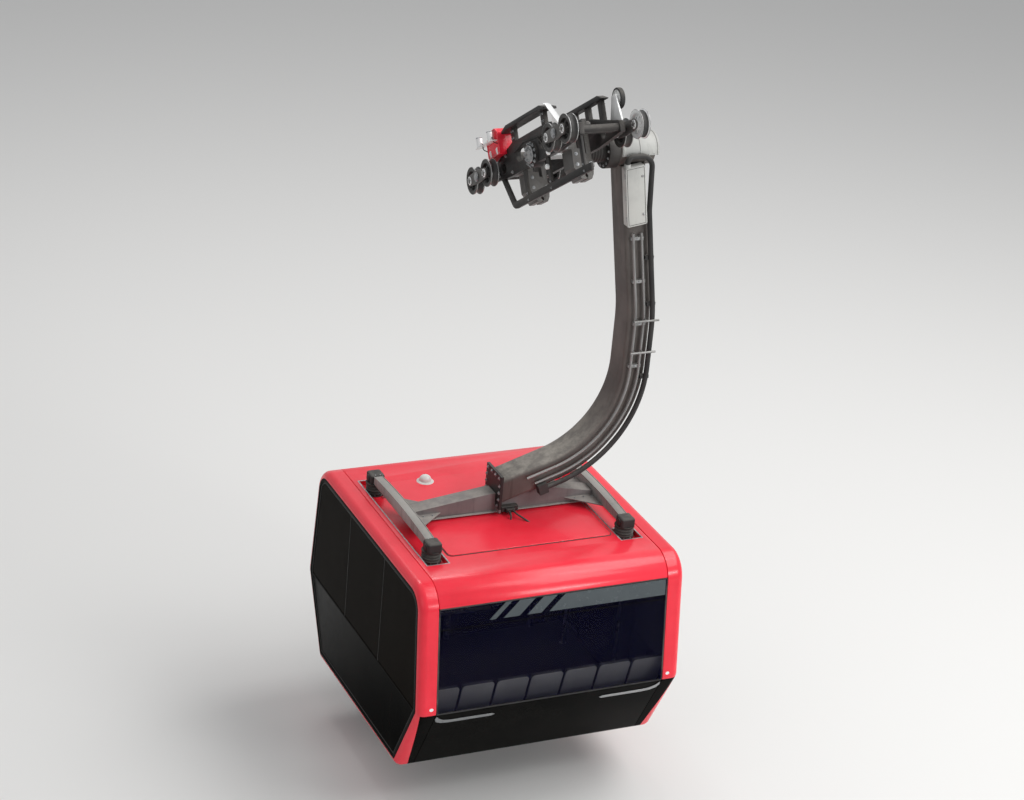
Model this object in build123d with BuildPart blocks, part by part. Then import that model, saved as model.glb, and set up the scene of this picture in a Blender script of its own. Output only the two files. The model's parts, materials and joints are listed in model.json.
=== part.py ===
from build123d import *
from math import atan, cos, radians, sin, tan
import os

# Cable car for two track ropes and a haul rope: a wheeled carriage on the inclined
# ropes, a one-sided hanger arm that swings on the carriage, and a closed cabin below.
# Millimetres. +X is the outer side, where the arm and the doors are, +Y is level and
# points downhill, +Z is up. The origin lies midway between the track ropes, at the
# middle of the carriage.

# Ropes
slope = 32.0
gauge = 880.0
track_rope_r = 28.0
haul_rope_r = 23.0
haul_drop = 250.0

# Running gear
tread_r = 140.0
flange_r = 165.0
roller_width = 100.0
roller_pitch = 440.0
rocker_place = 1130.0
roller_pin_r = 25.0
rocker_pin_r = 32.0
cheek_gap = 62.0
cheek_wall = 14.0
running_gap = 0.05

# Carriage frame
frame_x = 250.0
frame_wall = 60.0
frame_end = 1290.0
grip_place = 620.0
plate_top = 640.0
plate_place = 50.0
plate_length = 1250.0
rail_top = 620.0
rail_length = 1940.0

# Hanger
pivot_lift = 170.0
shaft_r = 70.0
head_r = 190.0
head_inner = 760.0
head_outer = 1200.0
arm_depth = 380.0
arm_thick = 300.0
arm_wall = 16.0
arm_lean = 18.0
arm_bend_r = 1350.0
arm_x = 1240.0

# Cabin
cabin_shift = -300.0
roof_edge = -4550.0
half_width = 1700.0
roof_rise = 150.0
top_half = 1700.0
waist_half = 1885.0
floor_half = 1330.0
waist_drop = 1400.0
floor_drop = 2420.0
hoop_face = 145.0
hoop_depth = 230.0
skin = 45.0
glass = 14.0
visor_drop = 95.0
seam = 6.0
door_half = 640.0

os.makedirs("parts", exist_ok=True)

# Directions on the inclined ropes
slope_sin = sin(radians(slope))
slope_cos = cos(radians(slope))
downhill = Vector(0, slope_cos, -slope_sin)
lift = Vector(0, slope_sin, slope_cos)
roller_lift = track_rope_r + tread_r
pivot = lift * pivot_lift
cabin_y = pivot.Y


def rope_point(x, u, v):
    """A place on the carriage: across, downhill along the ropes, square above them."""
    return downhill * u + lift * v + Vector(x, 0, 0)


def deck(x=0, u=0, v=0):
    """Plane parallel to the ropes: local x across, y downhill."""
    return Plane(origin=rope_point(x, u, v), x_dir=(1, 0, 0), z_dir=lift)


def side(x=0, u=0, v=0):
    """Upright plane along the ropes: local x downhill, y square above the ropes."""
    return Plane(origin=rope_point(x, u, v), x_dir=downhill, z_dir=(1, 0, 0))


def cross(x=0, u=0, v=0):
    """Plane across the ropes: local x across, y square above the ropes, facing uphill."""
    return Plane(origin=rope_point(x, u, v), x_dir=(1, 0, 0), z_dir=downhill * -1)


def cabin_side(x=0):
    """Upright plane along the cabin: local x downhill, y up from the roof's edge."""
    return Plane(origin=(cabin_shift + x, cabin_y, roof_edge), x_dir=(0, 1, 0), z_dir=(1, 0, 0))


def cabin_deck(z=0):
    """Level plane in the cabin at a height above the roof's edge."""
    return Plane(origin=(cabin_shift, cabin_y, roof_edge + z), x_dir=(1, 0, 0), z_dir=(0, 0, 1))


def cabin_front(y=0):
    """Upright plane across the cabin: local x across, y up, facing uphill."""
    return Plane(origin=(cabin_shift, cabin_y + y, roof_edge), x_dir=(1, 0, 0), z_dir=(0, -1, 0))


def block(x, y, z):
    """A box between the given low and high places in the cabin's own frame."""
    low = (cabin_shift + x[0], cabin_y + y[0], roof_edge + z[0])
    box = Box(x[1] - x[0], y[1] - y[0], z[1] - z[0], align=(Align.MIN,) * 3, mode=Mode.PRIVATE)
    return Pos(*low) * box


def save(part, name):
    part.label = name
    export_step(part, f"parts/{name}.step")


# Carriage frame: two arched side plates with holes, cross tubes, axles, posts, and a
# guard beam hung below the inner plate
frame_outline = [
    (-frame_end, 110), (-frame_end, 235), (-900, 330), (-520, 430), (520, 430),
    (900, 330), (frame_end, 235), (frame_end, 110), (700, 60), (-700, 60),
]
tie_places = (-430.0, 430.0)
post_places = (-380.0, 480.0)
rail_posts = (-850.0, -500.0, -150.0, 150.0, 500.0, 850.0)
chord_low = -320.0
chord_top = -235.0
chord_half = 14.0
chord_struts = (-1225.0, -330.0, 330.0)
chord_outline = [
    (1010, 110), (760, chord_low), (-1420, chord_low), (-1420, chord_top), (705, chord_top), (910, 110),
]
with BuildPart() as carriage_frame:
    for sx in (-1, 1):
        with BuildSketch(side(sx * frame_x)):
            with BuildLine():
                Polyline(*frame_outline, close=True)
            make_face()
            with Locations((-850, 190), (850, 190)):
                Circle(65, mode=Mode.SUBTRACT)
            with Locations((-330, 250), (330, 250)):
                SlotOverall(260, 150, mode=Mode.SUBTRACT)
        extrude(amount=frame_wall / 2, both=True)
    for su in (-1, 1):
        with BuildSketch(side(0, su * (frame_end - 60), 172)):
            Circle(45)
        extrude(amount=frame_x, both=True)
        with BuildSketch(side(0, su * rocker_place, roller_lift)):
            Circle(rocker_pin_r)
        extrude(amount=gauge / 2 + cheek_gap + cheek_wall + 22, both=True)
        with BuildSketch(side(0, su * 860, 250)):
            Circle(38)
        extrude(amount=frame_x, both=True)
    for sx in (-1, 1):
        with BuildSketch(side(sx * frame_x, 0, pivot_lift)):
            Circle(150)
        extrude(amount=frame_wall, both=True)
    with BuildSketch(side(0, 0, pivot_lift)):
        Circle(shaft_r)
    extrude(amount=frame_x + 2 * frame_wall, both=True, mode=Mode.SUBTRACT)
    for u in tie_places:
        with BuildSketch(deck(0, u, 400)):
            Rectangle(2 * frame_x, 90)
        extrude(amount=30)
    for u in post_places:
        with BuildSketch(deck(-frame_x, u, 420)):
            Rectangle(frame_wall - 10, 90)
        extrude(amount=plate_top - 50 - 420)
    for u in rail_posts:
        with BuildSketch(deck(frame_x, u, 300)):
            Rectangle(frame_wall - 10, 90)
        extrude(amount=rail_top - 60 - 300)
    with BuildSketch(side(-frame_x)) as chord:
        with BuildLine():
            Polyline(*chord_outline, close=True)
        make_face()
        fillet([v for v in chord.vertices() if v.X > 700 and abs(v.Y - chord_low) < 1], 140)
        fillet([v for v in chord.vertices() if v.X > 600 and abs(v.Y - chord_top) < 1], 60)
        for u in chord_struts:
            with Locations((u, -65)):
                Rectangle(70, 370)
    extrude(amount=chord_half, both=True)
save(carriage_frame.part, "carriage_frame")

# Station drive plate on the inner posts, with turned-down ends, and the guide rail opposite
half_plate = plate_length / 2
half_rail = rail_length / 2
with BuildPart() as drive_plate:
    with BuildSketch(side(-frame_x, plate_place, plate_top)):
        with BuildLine():
            Polyline(
                (-half_plate, -45), (-half_plate + 140, 0), (half_plate - 140, 0), (half_plate, -45),
                (half_plate, -75), (half_plate - 150, -50), (-half_plate + 150, -50), (-half_plate, -75),
                close=True,
            )
        make_face()
    extrude(amount=80, both=True)
    with BuildSketch(side(frame_x, 0, rail_top)):
        with BuildLine():
            Polyline(
                (-half_rail, -50), (-half_rail + 120, 0), (half_rail - 120, 0), (half_rail, -50),
                (half_rail, -60), (-half_rail, -60), close=True,
            )
        make_face()
    extrude(amount=45, both=True)
save(drive_plate.part, "drive_plate")

# Pivot shaft of the hanger, with its end caps
with BuildPart() as pivot_shaft:
    with BuildSketch(side(-frame_x - frame_wall - 12, 0, pivot_lift)):
        Circle(shaft_r)
    extrude(amount=frame_x + frame_wall + head_outer + 24)
    with BuildSketch(side(head_outer + 6, 0, pivot_lift)):
        Circle(120)
    extrude(amount=24)
    with BuildSketch(side(-frame_x - frame_wall - 4, 0, pivot_lift)):
        Circle(105)
    extrude(amount=-24)
save(pivot_shaft.part, "pivot_shaft")

# Swing damper: a ribbed drum between the frame and the arm
with BuildPart() as swing_damper:
    with BuildSketch(cross(0, 0, pivot_lift)):
        with BuildLine():
            Polyline(
                (frame_x + frame_wall + 1, shaft_r), (frame_x + frame_wall + 1, 130), (600, 130),
                (600, 215), (745, 215), (745, shaft_r), close=True,
            )
        make_face()
    revolve(axis=Axis(tuple(pivot), (1, 0, 0)))
save(swing_damper.part, "swing_damper")

# Rockers: two cheeks each, a pivot tube and the pins of the two rollers
rocker_names = {(-1, -1): "uphill_inner", (-1, 1): "uphill_outer", (1, -1): "downhill_inner", (1, 1): "downhill_outer"}
for (su, sx), place in rocker_names.items():
    x = sx * gauge / 2
    u = su * rocker_place
    with BuildPart() as rocker:
        for face in (-cheek_gap - cheek_wall, cheek_gap):
            with BuildSketch(side(x + face, u, roller_lift)):
                with Locations((-roller_pitch / 2, 0), (roller_pitch / 2, 0)):
                    Circle(62)
                Circle(80)
                make_hull()
            extrude(amount=cheek_wall)
        with BuildSketch(side(x, u, roller_lift)):
            Circle(46)
        extrude(amount=cheek_gap + cheek_wall, both=True)
        with BuildSketch(side(x, u, roller_lift)):
            with Locations((-roller_pitch / 2, 0), (roller_pitch / 2, 0)):
                Circle(roller_pin_r)
        extrude(amount=cheek_gap + cheek_wall + 14, both=True)
        with BuildSketch(side(x, u, roller_lift)):
            Circle(rocker_pin_r + running_gap)
        extrude(amount=cheek_gap + cheek_wall, both=True, mode=Mode.SUBTRACT)
    save(rocker.part, f"rocker_{place}")

# Track rollers: a grooved rim, a thin web and a hub that runs on its pin
half_roller = roller_width / 2
hub_half = cheek_gap - 6.0
for (su, sx), place in rocker_names.items():
    for step, end in ((-1, "a"), (1, "b")):
        x = sx * gauge / 2
        u = su * rocker_place + step * roller_pitch / 2
        with BuildPart() as roller:
            with BuildSketch(cross(x, u, roller_lift)):
                with BuildLine():
                    Polyline(
                        (-30, tread_r + 12), (-38, flange_r), (-half_roller, flange_r), (-half_roller, 118),
                        (-14, 106), (-14, 62), (-hub_half, 56), (-hub_half, roller_pin_r + running_gap),
                        (hub_half, roller_pin_r + running_gap), (hub_half, 56), (14, 62), (14, 106),
                        (half_roller, 118), (half_roller, flange_r), (38, flange_r), (30, tread_r + 12),
                    )
                    ThreePointArc((30, tread_r + 12), (0, tread_r), (-30, tread_r + 12))
                make_face()
            revolve(axis=Axis(tuple(rope_point(x, u, roller_lift)), (1, 0, 0)))
        save(roller.part, f"roller_{place}_{end}")

# Grips: a cast body with the fixed jaw, and a jaw that swings open on its pin
jaw_pin_x = 70.0
jaw_pin_v = -130.0
jaw_pin_r = 18.0
grip_half = 130.0
jaw_half = 100.0
lever_top = 400.0
spring_lift = 250.0
spring_r = 80.0
spring_bore = 65.0
frame_face = -frame_x + frame_wall / 2
fixed_outline = [
    (-150, 60), (-150, -150), (-95, -235), (-70, -290), (-10, -290), (-10, -180), (5, -150), (-12, 60),
]
ear_outline = [(-20, 0), (-20, -150), (40, -172), (105, -160), (110, -100), (20, 0)]
jaw_outline = [
    (40, lever_top), (40, -60), (28, -120), (10, -190), (10, -290), (70, -290), (98, -235),
    (110, -150), (100, -60), (100, lever_top),
]
for su, place in ((-1, "uphill"), (1, "downhill")):
    u = su * grip_place
    with BuildPart() as grip:
        with BuildSketch(cross(0, u, 0)):
            with BuildLine():
                Polyline(*fixed_outline, close=True)
            make_face()
            with Locations((0, -haul_drop)):
                Circle(haul_rope_r, mode=Mode.SUBTRACT)
        extrude(amount=grip_half, both=True)
        with BuildSketch(cross(0, u, 0)):
            with Locations((-105, 150)):
                Rectangle(90, 190)
            with Locations((-185, 130)):
                Rectangle(70, 140)
        extrude(amount=grip_half - 40, both=True)
        for su_ear in (-1, 1):
            with BuildSketch(cross(0, u + su_ear * (jaw_half + 18), 0)):
                with BuildLine():
                    Polyline(*ear_outline, close=True)
                make_face()
            extrude(amount=12, both=True)
        with BuildSketch(cross(0, u, 0)):
            with Locations((jaw_pin_x, jaw_pin_v)):
                Circle(jaw_pin_r)
        extrude(amount=grip_half + 6, both=True)
        with BuildSketch(side(frame_face + 5, u, spring_lift)):
            Circle(spring_r)
        extrude(amount=160)
        with BuildSketch(side(frame_face + 20, u, spring_lift)):
            Circle(spring_bore)
        extrude(amount=150, mode=Mode.SUBTRACT)
    save(grip.part, f"grip_{place}")

    with BuildPart() as jaw:
        with BuildSketch(cross(0, u, 0)):
            with BuildLine():
                Polyline(*jaw_outline, close=True)
            make_face()
            with Locations((0, -haul_drop)):
                Circle(haul_rope_r, mode=Mode.SUBTRACT)
            with Locations((jaw_pin_x, jaw_pin_v)):
                Circle(jaw_pin_r + running_gap, mode=Mode.SUBTRACT)
        extrude(amount=jaw_half, both=True)
        with BuildSketch(side(90, u, lever_top - 60)):
            Circle(50)
        extrude(amount=80)
        with BuildSketch(side(-70, u, spring_lift)):
            Circle(18)
        extrude(amount=112)
    save(jaw.part, f"jaw_{place}")

# Hood over the downhill grip: a sheet cover on the frame, with a skirt outside the plate
hood_out = -372.0
hood_in = -150.0
hood_top = [(690, 398), (690, 600), (760, 660), (930, 645), (1030, 540), (1030, 308), (900, 342)]
hood_skirt = [(690, 340), (690, 600), (760, 660), (930, 645), (1030, 540), (1030, 340)]
with BuildPart() as grip_cover:
    with BuildSketch(side(hood_in, 0, 0)):
        with BuildLine():
            Polyline(*hood_top, close=True)
        make_face()
    extrude(amount=hood_out - hood_in)
    with BuildSketch(side(hood_out, 0, 0)):
        with BuildLine():
            Polyline(*hood_skirt, close=True)
        make_face()
    extrude(amount=-frame_x - frame_wall / 2 - hood_out)
    fillet(grip_cover.edges().filter_by(Axis.X).group_by(Axis.Z)[-1], 30)
save(grip_cover.part, "grip_cover")

# Bright pieces: a slide down from the drive plate, and two grease cans beside the hood
slide_line = [(-590, 632), (-660, 600), (-1035, 215), (-1100, 205)]
slide_wall = 14.0
can_shelf = 505.0
with BuildPart() as ramps:
    with BuildSketch(side(-frame_x - frame_wall / 2, 0, 0)):
        with BuildLine():
            Polyline(
                *slide_line, *[(u, v - slide_wall) for u, v in reversed(slide_line)], close=True,
            )
        make_face()
    extrude(amount=-70)
    with BuildSketch(side(-frame_x - frame_wall / 2, 0, 0)):
        with BuildLine():
            Polyline((-650, 600), (-1030, 208), (-960, 205), (-650, 340), close=True)
        make_face()
    extrude(amount=-10)
    with BuildSketch(deck(hood_out, 945, can_shelf)):
        with Locations((-45, 0)):
            Rectangle(90, 480)
    extrude(amount=10)
    for u in (800, 1120):
        with BuildSketch(deck(hood_out - 48, u, can_shelf + 10)):
            Circle(38)
        extrude(amount=110)
save(ramps.part, "ramps")

# Guide wheels at both ends, on brackets of their own
wheel_place = 1120.0
wheel_lift = 520.0
wheel_r = 120.0
wheel_x = 342.0
with BuildPart() as wheel_brackets:
    for su in (-1, 1):
        u = su * wheel_place
        with BuildSketch(side(frame_x + frame_wall / 2, u, 0)):
            with BuildLine():
                Polyline(
                    (-su * 180, 262), (-su * 50, wheel_lift + 40), (su * 50, wheel_lift + 40),
                    (su * 120, 215), (-su * 180, 215), close=True,
                )
            make_face()
        extrude(amount=20)
        with BuildSketch(side(frame_x + frame_wall / 2, u, wheel_lift)):
            Circle(20)
        extrude(amount=90)
save(wheel_brackets.part, "wheel_brackets")
for su, place in ((-1, "uphill"), (1, "downhill")):
    u = su * wheel_place
    with BuildPart() as guide_wheel:
        with BuildSketch(cross(wheel_x, u, wheel_lift)):
            with BuildLine():
                Polyline(
                    (-25, 20 + running_gap), (-25, 45), (-8, 50), (-8, 88), (-28, 92), (-28, wheel_r),
                    (28, wheel_r), (28, 92), (8, 88), (8, 50), (25, 45), (25, 20 + running_gap), close=True,
                )
            make_face()
        revolve(axis=Axis(tuple(rope_point(wheel_x, u, wheel_lift)), (1, 0, 0)))
    save(guide_wheel.part, f"guide_wheel_{place}")

# Hanger arm: a box section swept from the head down, round the bend and in to the foot
foot_x = -70.0
foot_z = 470.0
foot_over = 100.0
arm_rise = tan(radians(arm_lean))
foot_point = (cabin_shift + foot_x - foot_over, roof_edge + foot_z - foot_over * arm_rise)
arm_corner = (arm_x, foot_point[1] + (arm_x - foot_point[0]) * arm_rise)
arm_top = (950.0, pivot.Z - 150)
arm_knee = (arm_x, -1900.0)
with BuildPart() as hanger_arm:
    with BuildLine(Plane.XZ.offset(-cabin_y)) as arm_path:
        FilletPolyline(arm_top, arm_knee, arm_corner, foot_point, radius=(2600.0, arm_bend_r))
    start = Plane(origin=arm_path.line @ 0, x_dir=(0, 1, 0), z_dir=arm_path.line % 0)
    with BuildSketch(start):
        RectangleRounded(arm_depth, arm_thick, 45)
        RectangleRounded(arm_depth - 2 * arm_wall, arm_thick - 2 * arm_wall, 30, mode=Mode.SUBTRACT)
    sweep(path=arm_path.line)
    with BuildSketch(side(head_inner, 0, pivot_lift)):
        Circle(head_r)
    extrude(amount=head_outer - head_inner)
    with BuildSketch(side(head_inner - 20, 0, pivot_lift)):
        Circle(shaft_r + running_gap)
    extrude(amount=head_outer - head_inner + 40, mode=Mode.SUBTRACT)
    with BuildSketch(Plane.YZ.offset(cabin_shift + foot_x)):
        with Locations((cabin_y, roof_edge + foot_z)):
            Rectangle(600, 600)
    extrude(amount=-300, mode=Mode.SUBTRACT)
save(hanger_arm.part, "hanger_arm")

# Cross beam: deep in the middle, with a saddle and an end plate for the arm's foot
bar_x = 1256.0
bar_half = 1000.0
bar_low = 235.0
damper_y = 905.0
damper_r = 122.0
pan_floor = 80.0
beam_low = 185.0
beam_crown = 430.0
gusset_lift = 245.0
saddle_low = foot_z - arm_thick / 2 / cos(radians(arm_lean)) - 2
saddle_end = 420.0
with BuildPart() as cross_beam:
    with BuildSketch(cabin_front(0)):
        with BuildLine():
            Polyline(
                (-bar_x + 56, beam_low), (-bar_x + 56, beam_low + 120), (foot_x - 110, beam_crown),
                (foot_x - 40, beam_crown), (foot_x - 40, saddle_low), (foot_x + 10, saddle_low),
                (saddle_end, saddle_low + (saddle_end - foot_x - 10) * arm_rise),
                (bar_x - 56, beam_low + 120), (bar_x - 56, beam_low), close=True,
            )
        make_face()
    extrude(amount=110, both=True)
    add(block((foot_x - 30, foot_x), (-215, 215), (beam_low + 20, foot_z + 220)))
    for sx in (-1, 1):
        for sy in (-1, 1):
            with BuildSketch(cabin_deck(gusset_lift)):
                with BuildLine():
                    Polyline(
                        (sx * (bar_x - 56), sy * 100), (sx * (bar_x - 56), sy * 430),
                        (sx * (bar_x - 450), sy * 100), close=True,
                    )
                make_face()
            extrude(amount=14)
save(cross_beam.part, "cross_beam")

# Longitudinal bars, arched over the roof, and the rubber dampers under their ends
for sx, place in ((-1, "inner"), (1, "outer")):
    with BuildPart() as bar:
        with BuildSketch(cabin_side(sx * bar_x)):
            with BuildLine():
                Polyline((bar_half, 320), (bar_half, bar_low), (-bar_half, bar_low), (-bar_half, 320))
                ThreePointArc((-bar_half, 320), (0, 375), (bar_half, 320))
            make_face()
        extrude(amount=55, both=True)
    save(bar.part, f"roof_bar_{place}")
with BuildPart() as dampers:
    with BuildSketch(cabin_deck(pan_floor)):
        with GridLocations(2 * bar_x, 2 * damper_y, 2, 2):
            Circle(damper_r)
    extrude(amount=bar_low - pan_floor)
save(dampers.part, "dampers")

# Cabin side outline: a barrel with its waist low down, drawn once and inset as needed
cabin_corners = [
    (-floor_half, -floor_drop), (-waist_half, -waist_drop), (-top_half, roof_rise),
    (top_half, roof_rise), (waist_half, -waist_drop), (floor_half, -floor_drop),
]
corner_rounds = ((-floor_drop, 130.0), (-waist_drop, 170.0), (roof_rise, 330.0))


def barrel(x, inset=0.0):
    """The cabin's side outline on the plane at x, inset all round."""
    with BuildSketch(cabin_side(x)) as outline:
        with BuildLine():
            Polyline(*cabin_corners, close=True)
        make_face()
        for level, round_r in corner_rounds:
            fillet([v for v in outline.vertices() if abs(v.Y - level) < 1], round_r)
        if inset:
            offset(amount=-inset, mode=Mode.REPLACE)
    return outline.sketch


# Corner hoops: rounded rings round both sides of the cabin, with a rebate for the glazing
hoop_round = 100.0
rebate = 25.0
lip = 20.0
for sx, place in ((-1, "inner"), (1, "outer")):
    hoop_foot = sx * (half_width - hoop_depth)
    with BuildPart() as hoop:
        extrude(barrel(hoop_foot), amount=sx * hoop_depth)
        rim = hoop.faces().sort_by(Axis.X)[-1 if sx > 0 else 0]
        fillet(rim.edges(), hoop_round)
        extrude(barrel(hoop_foot, skin), amount=sx * (hoop_depth - skin), mode=Mode.SUBTRACT)
        extrude(barrel(hoop_foot, hoop_face + lip), amount=sx * hoop_depth, mode=Mode.SUBTRACT)
        extrude(barrel(sx * half_width, hoop_face), amount=-sx * rebate, mode=Mode.SUBTRACT)
    save(hoop.part, f"hoop_{place}")

# Roof: the barrel's top between the hoops, with a pan under each bar
panel_half = half_width - hoop_depth - seam / 2
pan_half_x = 150.0
pan_half_y = 1140.0
with BuildPart() as roof:
    extrude(barrel(-panel_half), amount=2 * panel_half)
    extrude(barrel(-panel_half, skin), amount=2 * panel_half, mode=Mode.SUBTRACT)
    add(block((-half_width, half_width), (-2000, 2000), (-visor_drop, 400)), mode=Mode.INTERSECT)
    for sx in (-1, 1):
        pan_x = (sx * bar_x - pan_half_x, sx * bar_x + pan_half_x)
        add(block(pan_x, (-pan_half_y, pan_half_y), (pan_floor - 20, roof_rise - 5)))
        hollow_x = (pan_x[0] + 20, pan_x[1] - 20)
        hollow_y = (-pan_half_y + 20, pan_half_y - 20)
        add(block(hollow_x, hollow_y, (pan_floor, roof_rise + 50)), mode=Mode.SUBTRACT)
save(roof.part, "roof")

# End windows and aprons, one of each at both ends
window_top = -visor_drop - seam
window_low = -waist_drop - 20
for sy, place in ((-1, "uphill"), (1, "downhill")):
    reach = sorted((0, sy * 2000))
    with BuildPart() as window:
        extrude(barrel(-panel_half, 4), amount=2 * panel_half)
        extrude(barrel(-panel_half, 4 + glass), amount=2 * panel_half, mode=Mode.SUBTRACT)
        add(block((-half_width, half_width), reach, (window_low, window_top)), mode=Mode.INTERSECT)
    save(window.part, f"window_{place}")
    with BuildPart() as apron:
        extrude(barrel(-panel_half), amount=2 * panel_half)
        extrude(barrel(-panel_half, skin), amount=2 * panel_half, mode=Mode.SUBTRACT)
        reach = sorted((sy * 1240, sy * 2000))
        add(block((-half_width, half_width), reach, (-floor_drop - 5, window_low - seam)), mode=Mode.INTERSECT)
    save(apron.part, f"apron_{place}")

# Floor: the bottom skin and the deck on it
deck_top = -floor_drop + skin + 40
with BuildPart() as floor:
    add(block((-panel_half, panel_half), (-1234, 1234), (-floor_drop, -floor_drop + skin)))
    add(block((-half_width + skin, half_width - skin), (-1250, 1250), (-floor_drop + skin, deck_top)))
save(floor.part, "floor")

# Underframe: two channels along the floor and a cross member at each end
with BuildPart() as underframe:
    for sx in (-1, 1):
        add(block((sx * 900 - 60, sx * 900 + 60), (-1150, 1150), (-floor_drop - 80, -floor_drop)))
        add(block((sx * 900 - 50, sx * 900 + 50), (-1160, 1160), (-floor_drop - 81, -floor_drop - 10)), mode=Mode.SUBTRACT)
    for sy in (-1, 1):
        add(block((-840, 840), (sy * 900 - 40, sy * 900 + 40), (-floor_drop - 60, -floor_drop)))
save(underframe.part, "underframe")

# Inner side: one wide glass above the waist, a panel below it and two posts behind
side_inset = hoop_face + 3
sill = -waist_drop
pane_out = half_width - 10
pane_in = pane_out - glass
with BuildPart() as inner_glass:
    extrude(barrel(-pane_out, side_inset), amount=glass)
    add(block((-half_width, 0), (-2000, 2000), (sill, 400)), mode=Mode.INTERSECT)
save(inner_glass.part, "inner_glass")
with BuildPart() as inner_panel:
    extrude(barrel(-pane_out - 4, side_inset), amount=glass + 4)
    add(block((-half_width, 0), (-2000, 2000), (-floor_drop, sill - seam)), mode=Mode.INTERSECT)
save(inner_panel.part, "inner_panel")
post_y = 560.0
with BuildPart() as inner_posts:
    for sy in (-1, 1):
        add(block((-half_width + skin + 5, -half_width + skin + 65), (sy * post_y - 30, sy * post_y + 30), (deck_top, roof_rise - skin)))
save(inner_posts.part, "inner_posts")

# Outer side: the door frame, with glass above and a panel below on both sides of it
frame_half = door_half + 60
frame_foot = -floor_drop + hoop_face + 5
frame_head = 0.0
opening_top = -160.0
opening_foot = frame_foot + 25
with BuildPart() as door_frame:
    add(block((half_width - 24, half_width), (-frame_half, frame_half), (frame_foot, frame_head)))
    add(block((half_width - 55, half_width - 24), (-frame_half, frame_half), (frame_foot + 22, frame_head - 20)))
    add(block((0, 2000), (-door_half, door_half), (opening_foot, opening_top)), mode=Mode.SUBTRACT)
save(door_frame.part, "door_frame")
with BuildPart() as outer_glass:
    extrude(barrel(pane_in, side_inset), amount=glass)
    add(block((0, 2000), (-2000, 2000), (sill, 400)), mode=Mode.INTERSECT)
    add(block((0, 2000), (-frame_half - 3, frame_half + 3), (-3000, 400)), mode=Mode.SUBTRACT)
save(outer_glass.part, "outer_glass")
with BuildPart() as outer_panels:
    extrude(barrel(pane_in, side_inset), amount=glass + 4)
    add(block((0, 2000), (-2000, 2000), (-floor_drop, sill - seam)), mode=Mode.INTERSECT)
    add(block((0, 2000), (-frame_half - 3, frame_half + 3), (-3000, 400)), mode=Mode.SUBTRACT)
save(outer_panels.part, "outer_panels")

# Door rails: a channel over the leaves, open below, and a guide strip under them
leaf_in = half_width + 12
leaf_wall = 40.0
leaf_top = -140.0
leaf_foot = frame_foot + 15
rail_half = 1290.0
with BuildPart() as door_rails:
    add(block((half_width, leaf_in + leaf_wall + 38), (-rail_half, rail_half), (leaf_top + 12, -60)))
    add(block((leaf_in - 2, leaf_in + leaf_wall + 2), (-rail_half - 5, rail_half + 5), (leaf_top, -80)), mode=Mode.SUBTRACT)
    add(block((half_width, leaf_in + leaf_wall + 12), (-1230, 1230), (leaf_foot - 35, leaf_foot - 12)))
save(door_rails.part, "door_rails")

# Door leaves: a framed window, two hangers in the rail and a bar handle
leaf_overlap = 20.0
for sy, place in ((-1, "uphill"), (1, "downhill")):
    near, far = 4.0, door_half + leaf_overlap
    with BuildPart() as door:
        add(block((leaf_in, leaf_in + leaf_wall), sorted((sy * near, sy * far)), (leaf_foot, leaf_top)))
        fillet(door.edges().filter_by(Axis.X).group_by(Axis.Z)[0], 25)
        glass_y = sorted((sy * 75, sy * 590))
        add(block((leaf_in + 8, 2000), glass_y, (-1345, -245)), mode=Mode.SUBTRACT)
        view_y = (glass_y[0] + 18, glass_y[1] - 18)
        add(block((1000, 2000), view_y, (-1327, -263)), mode=Mode.SUBTRACT)
        for hanger_y in (150, 510):
            span = sorted((sy * hanger_y - 45, sy * hanger_y + 45))
            add(block((leaf_in + 10, leaf_in + 30), span, (leaf_top - 5, -92)))
    save(door.part, f"door_{place}")
    with BuildPart() as door_glass:
        pane_y = (glass_y[0] + 3, glass_y[1] - 3)
        add(block((leaf_in + 9, leaf_in + 9 + glass), pane_y, (-1342, -248)))
    save(door_glass.part, f"door_glass_{place}")

# Benches at both ends: a pan on legs, seat pads and leaning back pads
seat_count = 7
seat_pitch = 445.0
seat_width = 425.0
seat_top = deck_top + 470
seat_near, seat_far = 1080.0, 1530.0
back_foot = (1545.0, seat_top + 60)
back_head = (1735.0, -1150.0)
pad = 70.0
pad_places = [(i - (seat_count - 1) / 2) * seat_pitch for i in range(seat_count)]
with BuildPart() as benches:
    for sy in (-1, 1):
        add(block((-1600, 1600), sorted((sy * seat_near, sy * seat_far)), (seat_top - 50, seat_top)))
        for leg_x in (-1200, 0, 1200):
            add(block((leg_x - 30, leg_x + 30), sorted((sy * 1170, sy * 1230)), (deck_top, seat_top - 50)))
save(benches.part, "benches")
with BuildPart() as seat_pads:
    for sy in (-1, 1):
        for x in pad_places:
            span = (x - seat_width / 2, x + seat_width / 2)
            reach = sorted((sy * (seat_near - 10), sy * (seat_far - 20)))
            add(block(span, reach, (seat_top + 0.5, seat_top + 60)))
save(seat_pads.part, "seat_pads")
with BuildPart() as back_pads:
    for sy in (-1, 1):
        for x in pad_places:
            with BuildSketch(cabin_side(x - seat_width / 2)):
                with BuildLine():
                    Polyline(
                        (sy * back_foot[0], back_foot[1]), (sy * back_head[0], back_head[1]),
                        (sy * (back_head[0] - pad), back_head[1] + 15), (sy * (back_foot[0] - pad), back_foot[1] + 15),
                        close=True,
                    )
                make_face()
            extrude(amount=seat_width)
save(back_pads.part, "back_pads")

# Grab poles beside the door, from deck to roof
with BuildPart() as grab_poles:
    for sy in (-1, 1):
        with BuildSketch(cabin_deck(deck_top)):
            with Locations((1440, sy * 700)):
                Circle(19)
        extrude(amount=roof_rise - skin - deck_top)
save(grab_poles.part, "grab_poles")

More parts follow.
